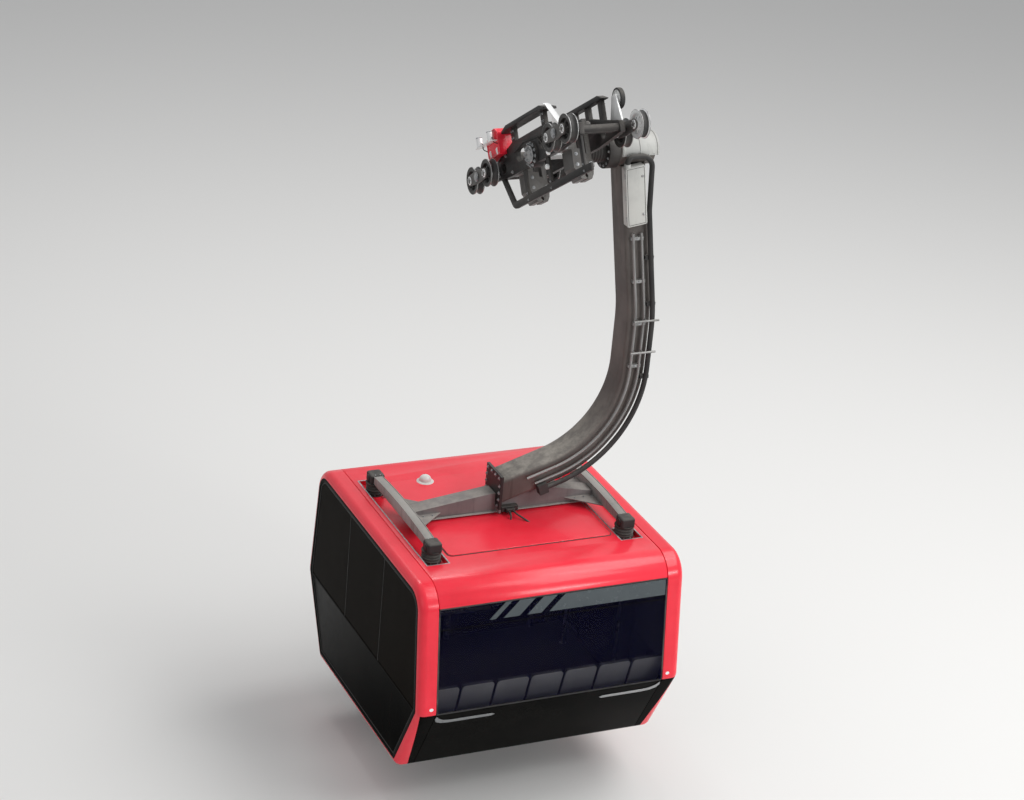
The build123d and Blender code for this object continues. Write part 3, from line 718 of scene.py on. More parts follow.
def rounded(half_x: float, half_y: float, bend: float, steps: int) -> Pairs:
    """A rectangle with round corners.

    Args:
        half_x: half of its width.
        half_y: half of its height.
        bend: radius of its corners.
        steps: faces in a corner.

    Returns:
        The outline.
    """
    outline = []
    for cx, cy, start in ((1, 1, 0), (-1, 1, 90), (-1, -1, 180), (1, -1, 270)):
        for step in range(steps + 1):
            angle = math.radians(start + 90 // steps * step)
            outline.append((cx * (half_x - bend) + bend * math.cos(angle),
                            cy * (half_y - bend) + bend * math.sin(angle)))
    return outline


class Kit:
    """Turns meshes into pieces that ride on the model's bodies."""

    def __init__(self) -> None:
        """Starts without materials and pieces."""
        self.paints: dict[Finishes, bpy.types.Material] = {}
        self.replaced: set[str] = set()

    def paint(self, finish: Finishes) -> bpy.types.Material:
        """The finish's material, made on first use.

        Args:
            finish: one of the finishes.

        Returns:
            Its material.
        """
        if finish not in self.paints:
            self.paints[finish] = finish.value.build()
        return self.paints[finish]

    def add(self, data: bpy.types.Mesh, finish: Union[Finishes, Sequence[Finishes], None], body: str,
            slot: str,
            replaces: Iterable[str] = ()) -> bpy.types.Object:
        """Adds a piece.

        Args:
            data: the mesh, with its place in it; its name is the piece's.
            finish: one finish, one for each material index, or none where the mesh has its own.
            body: the body that the piece rides on.
            slot: the record's material slot; not used.
            replaces: the nodes that the piece stands for.

        Returns:
            The piece.
        """
        piece = linked(data.name, data)
        if finish is not None:
            if data.materials:
                data.materials.clear()
            for one in [finish] if isinstance(finish, Finishes) else finish:
                data.materials.append(self.paint(one))
        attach(piece, body)
        if replaces:
            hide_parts(*replaces)
            self.replaced.update(replaces)
        log.info("%s: %d faces on %s", piece.name, len(data.polygons), body)
        return piece


class Recipe(Graph):
    """A Geometry Nodes tree with named inputs, run on a mesh of places or of paths."""

    KINDS = {float: "NodeSocketFloat", int: "NodeSocketInt", str: "NodeSocketMaterial"}

    def __init__(self, title: str, **inputs: Union[float, int]) -> None:
        """Makes the tree's inputs, and one for the finish.

        Args:
            title: the tree's name.
            inputs: each input's name and default.
        """
        tree = bpy.data.node_groups.new(title, "GeometryNodeTree")
        super().__init__(tree)
        tree.interface.new_socket("Base", in_out="INPUT", socket_type="NodeSocketGeometry")
        tree.interface.new_socket("Form", in_out="OUTPUT", socket_type="NodeSocketGeometry")
        self.keys: dict[str, str] = {}
        for name, default in (inputs | {"Finish": ""}).items():
            item = tree.interface.new_socket(name, in_out="INPUT", socket_type=self.KINDS[type(default)])
            if default:
                item.default_value = default
            self.keys[name] = item.identifier
        self.source = self.node("NodeGroupInput")

    def given(self, name: str) -> Field:
        """An input of the tree."""
        return self.out(self.source, name)

    def lifted(self, z: Value) -> Field:
        """A vector that points up."""
        return self.field("ShaderNodeCombineXYZ", {2: z})

    def swept(self, curve: Field, sides: Value, radius: Value, caps: bool = True) -> Field:
        """A round bar along a curve."""
        ring = self.field("GeometryNodeCurvePrimitiveCircle", {"Resolution": sides, "Radius": radius})
        return self.field("GeometryNodeCurveToMesh",
                          {"Curve": curve, "Profile Curve": ring, "Fill Caps": caps})

    def scatter(self, shape: Field) -> Field:
        """Copies of a shape on the places, each turned to the place's facing attribute.

        Args:
            shape: what is copied.

        Returns:
            The copies.
        """
        facing = self.field("GeometryNodeInputNamedAttribute", {"Name": "facing"}, data_type="FLOAT_VECTOR")
        turned = self.field("FunctionNodeAlignRotationToVector", {"Vector": facing}, axis="Z")
        sockets = {"Points": self.given("Base"), "Instance": shape, "Rotation": turned}
        return self.field("GeometryNodeInstanceOnPoints", sockets)

    def close(self, shape: Field, smooth: bool) -> "Recipe":
        """Ends the tree: real geometry with its material.

        Args:
            shape: the geometry so far.
            smooth: whether its faces are shaded smooth.

        Returns:
            This recipe.
        """
        real = self.field("GeometryNodeRealizeInstances", {0: shape})
        shade = self.field("GeometryNodeSetShadeSmooth", {"Geometry": real, "Shade Smooth": smooth})
        dressed = self.field("GeometryNodeSetMaterial", {"Geometry": shade, "Material": self.given("Finish")})
        self.node("NodeGroupOutput", {0: dressed})
        return self

    def run(self, name: str, base: bpy.types.Mesh, values: dict[str, Value]) -> bpy.types.Mesh:
        """Runs the tree.

        Args:
            name: the new mesh's name.
            base: the mesh of places or of paths.
            values: the inputs by name.

        Returns:
            A plain mesh.
        """
        carrier = linked("carrier", base)
        modifier = carrier.modifiers.new("recipe", "NODES")
        modifier.node_group = self.tree
        for key, value in values.items():
            modifier[self.keys[key]] = value
        return settled(carrier, name)


def places(spots: Sequence[Spot]) -> bpy.types.Mesh:
    """A mesh of points, each with the way it faces.

    Args:
        spots: the places with the way they face.

    Returns:
        The mesh.
    """
    data = bpy.data.meshes.new("places")
    data.from_pydata([spot for spot, _ in spots], [], [])
    facing = data.attributes.new("facing", "FLOAT_VECTOR", "POINT")
    for item, (_, way) in zip(facing.data, spots):
        item.vector = way
    return data


def circle(centre: Vector, axis: Vector, radius: float, count: int) -> list[Spot]:
    """Places spread evenly round an axis.

    Args:
        centre: a point of the axis.
        axis: its direction, which every place faces.
        radius: distance from the axis.
        count: number of places.

    Returns:
        The places with the way they face.
    """
    turn = axis.to_track_quat("Z", "Y")
    spots = []
    for i in range(count):
        angle = math.tau * (i + 0.5) / count
        spots.append((centre + turn @ Vector((radius * math.cos(angle), radius * math.sin(angle), 0)), axis))
    return spots


def path(runs: Sequence[Sequence[Vector]], closed: bool = False) -> bpy.types.Mesh:
    """A mesh of edges, one chain for each run of points.

    Args:
        runs: the points of each run.
        closed: each run's last point joins its first.

    Returns:
        The mesh.
    """
    verts: list[Vector] = []
    edges: list[tuple[int, int]] = []
    for run in runs:
        first = len(verts)
        verts.extend(run)
        edges.extend((first + i, first + i + 1) for i in range(len(run) - 1))
        if closed:
            edges.append((len(verts) - 1, first))
    data = bpy.data.meshes.new("path")
    data.from_pydata(verts, edges, [])
    return data


class Recipes:
    """The repeated and swept forms of the car."""

    def __init__(self) -> None:
        """Builds the trees."""
        self.bolts = self._bolts()
        self.pipes = self._pipes()
        self.coils = self._coils()
        self.ribs = self._ribs()

    def _bolts(self) -> Recipe:
        """Hexagon heads on washers.

        Returns:
            The tree.
        """
        r = Recipe("bolt_heads", Radius=0.012, Height=0.012)
        joined = r.node("GeometryNodeJoinGeometry")
        washer_part, head, stud = (14, 1.6, 0.3, 0.1), (6, 1.0, 1.0, 0.7), (10, 0.55, 0.5, 1.3)
        for sides, width, depth, level in (washer_part, head, stud):
            sizes = {"Vertices": sides, "Radius": r.given("Radius") * width,
                     "Depth": r.given("Height") * depth}
            part = r.field("GeometryNodeMeshCylinder", sizes)
            lift = r.lifted(r.given("Height") * level)
            moved = r.field("GeometryNodeTransform", {"Geometry": part, "Translation": lift})
            r.feed(joined.inputs[0], moved)
        return r.close(r.scatter(r.out(joined)), False)

    def _pipes(self) -> Recipe:
        """Round bars along paths, with rounded corners.

        Returns:
            The tree.
        """
        r = Recipe("pipes", Radius=0.01, Corner=0.03, Sides=12)
        line = r.field("GeometryNodeMeshToCurve", {0: r.given("Base")})
        sockets = {"Curve": line, "Radius": r.given("Corner"), "Limit Radius": True, "Count": 6}
        bent = r.field("GeometryNodeFilletCurve", sockets, mode="POLY")
        return r.close(r.swept(bent, r.given("Sides"), r.given("Radius")), True)

    def _coils(self) -> Recipe:
        """Coil springs that stand on points.

        Returns:
            The tree.
        """
        r = Recipe("coils", Radius=0.05, Height=0.1, Turns=5.0, Wire=0.008)
        sockets = {"Resolution": 20, "Rotations": r.given("Turns"), "Start Radius": r.given("Radius"),
                   "End Radius": r.given("Radius"), "Height": r.given("Height")}
        spiral = r.field("GeometryNodeCurveSpiral", sockets)
        return r.close(r.scatter(r.swept(spiral, 8, r.given("Wire"))), True)

    def _ribs(self) -> Recipe:
        """Stacks of round beads that stand on points.

        Returns:
            The tree.
        """
        r = Recipe("ribs", Count=4, Pitch=0.02, Radius=0.09, Bead=0.01)
        ring = r.field("GeometryNodeCurvePrimitiveCircle", {"Resolution": 40, "Radius": r.given("Radius")})
        bead = r.swept(ring, 10, r.given("Bead"), False)
        sockets = {"Count": r.given("Count"), "Offset": r.lifted(r.given("Pitch"))}
        line = r.field("GeometryNodeMeshLine", sockets, mode="OFFSET")
        stack = r.field("GeometryNodeInstanceOnPoints", {"Points": line, "Instance": bead})
        return r.close(r.scatter(r.field("GeometryNodeRealizeInstances", {0: stack})), True)


@dataclass
class Assembly:
    """What all sub-assemblies share: ways to add their pieces.

    Args:
        kit: where the finished pieces go.
        recipes: the repeated forms.
    """

    kit: Kit
    recipes: Recipes

    BODY = "cabin"

    def add(self, name: str, form: Form, finish: Union[Finishes, Sequence[Finishes]], bevel: float = 0.0,
            segments: int = 2, sharp: float = 38.0, body: str = "", slot: str = "",
            replaces: Iterable[str] = ()) -> bpy.types.Object:
        """Ends a form as a piece.

        Args:
            name: the piece's name.
            form: its form.
            finish: its finish, or one for each material index.
            bevel: width of the rounded edges.
            segments: faces across a rounded edge.
            sharp: angle in degrees past which an edge stays sharp.
            body: the body that it rides on, where it isn't this sub-assembly's own.
            slot: the material slot, where it isn't the finish's own.
            replaces: the nodes that it stands for.

        Returns:
            The piece.
        """
        data = form.mesh(name, bevel, segments, sharp)
        return self.kit.add(data, finish, body or self.BODY, slot or FINISH_SLOT[finish], replaces)

    def repeat(self, recipe: Recipe, name: str, base: bpy.types.Mesh, finish: Finishes, body: str = "",
               slot: str = "", **values: Union[float, int]) -> None:
        """Runs a recipe and adds its result as a piece.

        Args:
            recipe: one of the trees.
            name: the piece's name.
            base: the mesh of places or of paths.
            finish: the finish.
            body: the body that it rides on, where it isn't this sub-assembly's own.
            slot: the material slot, where it isn't the finish's own.
            values: the tree's sizes, by input name.
        """
        data = recipe.run(name, base, values | {"Finish": self.kit.paint(finish)})
        self.kit.add(data, None, body or self.BODY, slot or FINISH_SLOT[finish])

    def bolts(self, name: str, spots: Sequence[Spot], radius: float, height: float,
              finish: Finishes = Finishes.ZINC, body: str = "") -> None:
        """Bolt heads on places."""
        self.repeat(self.recipes.bolts, name, places(spots), finish, body, Radius=radius, Height=height)

    def pipes(self, name: str, base: bpy.types.Mesh, radius: float, corner: float, sides: int,
              finish: Finishes = Finishes.RUBBER, body: str = "", slot: str = "") -> None:
        """Round bars along paths."""
        sizes = {"Radius": radius, "Corner": corner, "Sides": sides}
        self.repeat(self.recipes.pipes, name, base, finish, body, slot, **sizes)


@dataclass
class Dresser:
    """Rounded copies of the model's hard nodes, and finishes for those that stay as they are.

    Args:
        kit: where the finished pieces go.
    """

    kit: Kit

    ROUNDED = {
        "carriage_frame": 0.006, "drive_plate": 0.006, "pivot_shaft": 0.006, "swing_damper": 0.006,
        "rocker": 0.004, "grip": 0.006, "jaw": 0.006, "ramps": 0.004, "wheel_brackets": 0.004,
        "cross_beam": 0.01, "roof_bar": 0.014, "roof": 0.008, "apron": 0.006, "floor": 0.004,
        "underframe": 0.004, "benches": 0.006, "door_frame": 0.004, "door_rails": 0.004,
        "door_uphill": 0.006, "door_downhill": 0.006, "control_box": 0.004, "inner_panel": 0.004,
        "outer_panels": 0.004, "inner_posts": 0.006, "hanger_arm": 0.006, "head_cover": 0.003,
    }

    SPECIAL = {
        "cross_beam": Finishes.BEAM, "jaw": Finishes.GRIP, "window": Finishes.END_GLASS,
        "wheel_brackets": Finishes.ALLOY, "grip_up": Finishes.GRIP, "grip_down": Finishes.GRIP,
        "rocker": Finishes.GRIP, "ladder": Finishes.RAIL,
    }

    def build(self) -> None:
        """Dresses every node that no other class replaces."""
        for name, node in frame["nodes"].items():
            if name in self.kit.replaced:
                continue
            special = next((finish for key, finish in self.SPECIAL.items() if name.startswith(key)), None)
            finish = special or SLOT_FINISH[SLOTS[name]]
            width = next((w for key, w in self.ROUNDED.items() if name.startswith(key)), 0.0)
            if width:
                data = Form().node(name).mesh(f"{name}_dressed", width)
                self.kit.add(data, finish, BODY_OF[name], SLOTS[name], [name])
            else:
                node.data.materials.clear()
                node.data.materials.append(self.kit.paint(finish))


@dataclass
class Studio:
    """The floor, the world, the lamps and the camera.

    Args:
        stand: the camera's place.
        lens: its focal length in millimetres.
        roll: how far it is turned round its line of sight, in degrees.
        clearance: height of the cabin over the floor.
        reach: half of the floor's width.
    """

    stand: Place = (-12.47, -24.88, 9.63)
    lens: float = 90.0
    roll: float = 5.3
    clearance: float = 0.55
    reach: float = 160.0

    # Name, way to the lamp, distance, width and height, and the level that a white surface facing it gets.
    LAMPS = (
        ("key", (0.5, -0.55, 0.8), 24.0, (13.0, 13.0), 0.36),
        ("top", (0.7, 0.0, 1.0), 26.0, (16.0, 16.0), 0.46),
        ("front", (0.42, -0.88, 0.17), 26.0, (9.0, 3.4), 0.22),
        ("fill", (-0.9, -0.55, 0.35), 24.0, (12.0, 12.0), 0.04),
        ("rim", (0.0, 0.7, 0.85), 24.0, (8.0, 8.0), 0.2),
    )

    def build(self) -> None:
        """Makes the studio."""
        low, high = cad_box
        centre = (low + high) / 2
        self._camera(centre)
        self._floor(low.z - self.clearance)
        self._world()
        for name, way, distance, size, share in self.LAMPS:
            data = bpy.data.lights.new(name, "AREA")
            data.shape = "RECTANGLE"
            data.size, data.size_y = size
            data.energy = share * math.pi**2 * distance**2
            lamp = linked(name, data)
            lamp.location = centre + Vector(way).normalized() * distance
            lamp.rotation_euler = (-Vector(way)).to_track_quat("-Z", "Y").to_euler()
        bpy.context.scene.view_settings.view_transform = "Standard"

    def _camera(self, aim: Vector) -> None:
        """The camera, at the photograph's viewing angle.

        Args:
            aim: where it looks.
        """
        data = bpy.data.cameras.new("camera")
        data.lens = self.lens
        data.sensor_width = 36
        data.clip_end = 500
        camera = linked("camera", data)
        camera.location = self.stand
        level = (aim - Vector(self.stand)).to_track_quat("-Z", "Y")
        camera.rotation_euler = (level @ Quaternion(UP, math.radians(self.roll))).to_euler()
        bpy.context.scene.camera = camera

    def _floor(self, level: float) -> None:
        """A plain pale floor.

        Args:
            level: its height.
        """
        data = bpy.data.meshes.new("studio_floor")
        corners = [(x * self.reach, y * self.reach, level) for x, y in ((-1, -1), (1, -1), (1, 1), (-1, 1))]
        data.from_pydata(corners, [], [(0, 1, 2, 3)])
        pale = {"Base Color": (0.8, 0.79, 0.77), "Roughness": 0.9, "Specular IOR Level": 0.1}
        data.materials.append(Surface("studio_floor").finish(pale))
        floor = linked("studio_floor", data)

    def _world(self) -> None:
        """An even pale world, seen by the camera and in reflections as a pale background."""
        world = bpy.data.worlds.new("studio")
        bpy.context.scene.world = world
        world.use_nodes = True
        g = Graph(world.node_tree)
        rays = g.node("ShaderNodeLightPath")
        seen = g.maths("MAXIMUM", g.out(rays, "Is Camera Ray"), g.out(rays, "Is Transmission Ray"))
        seen = g.maths("MAXIMUM", seen, g.out(rays, "Is Glossy Ray"))
        light = g.field("ShaderNodeBackground", {"Color": (0.95, 0.97, 1.0), "Strength": 0.42})
        shown = g.field("ShaderNodeBackground", {"Color": (0.86, 0.87, 0.88), "Strength": 0.8})
        both = g.field("ShaderNodeMixShader", {0: seen, 1: light, 2: shown})
        g.node("ShaderNodeOutputWorld", {"Surface": both})


@dataclass
class Shell(Assembly):
    """The cabin's hoops, roof, end windows and aprons.

    Args:
        half_width: half of the width across.
        hoop_inner_edge: where a hoop meets the roof and the windows.
        hoop_bend: radius of a hoop's outer edge.
        sill: height of the end windows' lower edge.
        cover: the black cover's slanted side: place across and height at its top and at its foot.
        roof_top: height of the roof over its edge.
        corners: the side outline's corners: level place, height and rounding.
        steps: faces in each rounded corner.
    """

    half_width: float = 1.70
    hoop_inner_edge: float = 1.47
    hoop_bend: float = 0.1
    sill: float = -1.41
    cover: Pairs = ((1.665, -1.41), (1.545, -2.42))
    roof_top: float = 0.15
    corners: tuple[Place, ...] = (
        (-1.33, -2.42, 0.13), (-1.885, -1.40, 0.17), (-1.70, 0.15, 0.33),
        (1.70, 0.15, 0.33), (1.885, -1.40, 0.17), (1.33, -2.42, 0.13),
    )
    steps: int = 16

    def outline(self, inset: float) -> list[tuple[float, float]]:
        """The rounded side outline, inset all round.

        Args:
            inset: distance inwards.

        Returns:
            Level places and heights, clockwise from the uphill foot.
        """
        count = len(self.corners)
        points = []
        for i, (y, z, radius) in enumerate(self.corners):
            before = Vector(self.corners[i - 1][:2])
            after = Vector(self.corners[(i + 1) % count][:2])
            here = Vector((y, z))
            into, away = (here - before).normalized(), (after - here).normalized()
            n_in, n_away = Vector((into.y, -into.x)), Vector((away.y, -away.x))
            tip = here + (n_in + n_away) * inset / (1 + n_in.dot(n_away))
            bend = max(radius - inset, 0.004)
            turn = into.angle(away)
            centre = tip - into * bend * math.tan(turn / 2) + n_in * bend
            start = math.atan2(-n_in.y, -n_in.x)
            for step in range(self.steps + 1):
                angle = start - turn * step / self.steps
                points.append((centre.x + bend * math.cos(angle), centre.y + bend * math.sin(angle)))
        return points

    def skin(self, end: End, x: float, z: float, out: float = 0.0) -> Vector:
        """A place on an end's outer surface.

        Args:
            end: which end.
            x: across.
            z: height above the roof's edge.
            out: distance outwards.

        Returns:
            The place.
        """
        points = self.outline(-out)[: 3 * (self.steps + 1)]
        for (y0, z0), (y1, z1) in zip(points, points[1:]):
            if z0 <= z <= z1 and z1 > z0:
                y = y0 + (y1 - y0) * (z - z0) / (z1 - z0)
                return in_cabin(x, y if end is End.UPHILL else -y, z)
        raise ValueError(f"no skin at height {z}")

    def patch(self, end: End, outline: Pairs, low: float, high: float) -> Form:
        """A thin plate on an end's surface.

        Args:
            end: which end.
            outline: its outline as places across and heights.
            low: distance of its back from the surface.
            high: distance of its face from the surface.

        Returns:
            The plate.
        """
        rings = [[self.skin(end, x, z, out) for x, z in outline] for out in (low, high)]
        return Form().loft(rings, ends=True)

    def build(self) -> None:
        """Makes the shell's pieces."""
        for sign, side in SIDES:
            self._hoop(sign, side)
        self._roof_panel()
        self._beacon()
        for end in End:
            self._seal(end)
            self._header(end)
            self._accents(end)

    def _hoop(self, sign: int, side: str) -> None:
        """A rounded ring round one side of the cabin.

        Args:
            sign: 1 for the outer side, -1 for the inner side.
            side: the side's name.
        """
        edge, width, bend = self.hoop_inner_edge, self.half_width, self.hoop_bend
        profile = [(edge + 0.003, 0.004), (edge + 0.006, 0.0), (width - bend, 0.0)]
        for i in range(1, 13):
            angle = math.pi / 2 * i / 12
            profile.append((width - bend + bend * math.sin(angle), bend - bend * math.cos(angle)))
        profile += [(width, 0.143), (width - 0.003, 0.147), (width - 0.025, 0.147), (width - 0.025, 0.165),
                    (width - 0.045, 0.165), (width - 0.045, 0.045), (edge + 0.003, 0.045)]
        rings = [[in_cabin(sign * x, y, z) for y, z in self.outline(inset)] for x, inset in profile]
        form = Form().loft(rings, along=True)
        # Index 1 is black on the outer flat face and the lip; index 2, on the faces inside the cabin, is near
        # black as painted shade.
        for i, face in enumerate(form.bm.faces):
            run = i // len(rings[0])
            face.material_index = 1 if 13 <= run <= 17 else 2 if 18 <= run <= 20 else 0
        self._cover(form, sign)
        finishes = (Finishes.RED, Finishes.BLACK, Finishes.LINING)
        self.add(f"hoop_{side}_skin", form, finishes, sharp=50, slot="red_paint", replaces=[f"hoop_{side}"])
        line = [in_cabin(sign * (width - 0.01), y, z) for y, z in self.outline(0.149)]
        self.pipes(f"hoop_{side}_seal", path([line], True), 0.009, 0.01, 8)

    def _cover(self, form: Form, sign: int) -> None:
        """Marks the part of a hoop's lower runs that the black cover hides.

        Args:
            form: the hoop.
            sign: 1 for the outer side, -1 for the inner side.
        """
        top, foot = (Vector(spot) for spot in self.cover)
        slant = Vector((top.y - foot.y, 0, sign * (foot.x - top.x)))
        for spot, facing in ((Vector((0, 0, top.y)), UP),
                             (Vector((sign * top.x, 0, top.y)), slant.normalized())):
            whole = [*form.bm.verts, *form.bm.edges, *form.bm.faces]
            bmesh.ops.bisect_plane(form.bm, geom=whole, dist=1e-6, plane_co=CABIN + spot, plane_no=facing)
        for face in form.bm.faces:
            middle = face.calc_center_median() - CABIN
            reach = foot.x + (top.x - foot.x) * (middle.z - foot.y) / (top.y - foot.y)
            if middle.z < self.sill and abs(middle.x) < reach and face.material_index == 0:
                face.material_index = 1

    def _roof_panel(self) -> None:
        """The raised middle of the roof, with its seam, and the bolts along the pans."""
        top = self.roof_top
        outline = rounded(1.06, 0.98, 0.06, 6)
        form = Form().prism([in_cabin(x, y, top - 0.004) for x, y in outline], UP * 0.018)
        self.add("roof_panel", form, Finishes.RED, 0.006)
        line = [in_cabin(x * 1.006, y * 1.006, top + 0.001) for x, y in outline]
        self.pipes("roof_panel_seam", path([line], True), 0.006, 0.02, 8)
        spots = [(in_cabin(sign * 1.256 + edge, -1.08 + 0.24 * i, top - 0.005), UP)
                 for sign in SIGNS for i in range(10) for edge in (-0.141, 0.141)]
        self.bolts("pan_bolts", spots, 0.007, 0.006)

    def _beacon(self) -> None:
        """The dome on its base."""
        profile = [(0.0, PINHOLE), (0.0, 0.11), (0.012, 0.11), (0.022, 0.1), (0.026, 0.08), (0.034, 0.076)]
        for i in range(1, 12):
            angle = math.pi / 2 * i / 12
            profile.append((0.034 + 0.066 * math.sin(angle), 0.076 * math.cos(angle)))
        profile.append((0.1, PINHOLE))
        form = Form().lathe(profile, in_cabin(-0.6, 0.9, self.roof_top), UP, 40)
        self.add("beacon_dome", form, Finishes.WHITE, replaces=["beacon"])

    def _seal(self, end: End) -> None:
        """The rubber seal round an end window.

        Args:
            end: which end.
        """
        half, depth = 1.462, -0.0102
        levels = [-0.106 - i * 0.06 for i in range(22)] + [-1.4, -1.415]
        run = [self.skin(end, -half, z, depth) for z in levels]
        run += [self.skin(end, half, z, depth) for z in reversed(levels)]
        self.pipes(f"window_seal_{end.word}", path([run], True), 0.01, 0.02, 8)

    def _header(self, end: End) -> None:
        """Grey panes across the top of an end window, a painted reflection, with slanted slashes at its left,
        and a dark line under them.

        Args:
            end: which end.
        """
        low, high, lean = -0.305, -0.112, 0.2
        panes = [(-0.84, -0.76, lean), (-0.66, -0.46, lean), (-0.36, -0.18, lean), (-0.08, 1.44, 0.0)]
        # The panes are a painted reflection on the glass.
        for i, (left, right, slant) in enumerate(panes):
            outline = [(left, low), (left + lean, high), (right + slant, high), (right, low)]
            self.add(f"vent_pane_{end.word}_{i}", self.patch(end, outline, -0.003, 0.003), Finishes.BAND,
                     0.001)
        line = [self.skin(end, -1.45, -0.36), self.skin(end, 1.45, -0.36)]
        self.pipes(f"vent_line_{end.word}", path([line]), 0.006, 0.001, 8, Finishes.BLACK)

    def _accents(self, end: End) -> None:
        """Silver strips under the window's corners and a lamp at each pillar's foot.

        Args:
            end: which end.
        """
        strip = ((1.455, -1.44), (1.41, -1.492), (1.35, -1.525), (1.25, -1.542), (0.72, -1.545),
                 (0.68, -1.568),
                 (0.72, -1.592), (1.26, -1.592), (1.37, -1.58), (1.44, -1.545), (1.465, -1.49))
        for sign, side in SIDES:
            form = self.patch(end, [(sign * x, z) for x, z in strip], -0.002, 0.007)
            self.add(f"accent_{end.word}_{side}", form, Finishes.TRIM, 0.003)
            angles = [math.tau * i / 20 for i in range(20)]
            lens = [(sign * (1.535 + 0.026 * math.cos(a)), -1.33 + 0.02 * math.sin(a)) for a in angles]
            self.add(f"corner_lamp_{end.word}_{side}", self.patch(end, lens, -0.004, 0.0007), Finishes.LAMP,
                     0.0003)


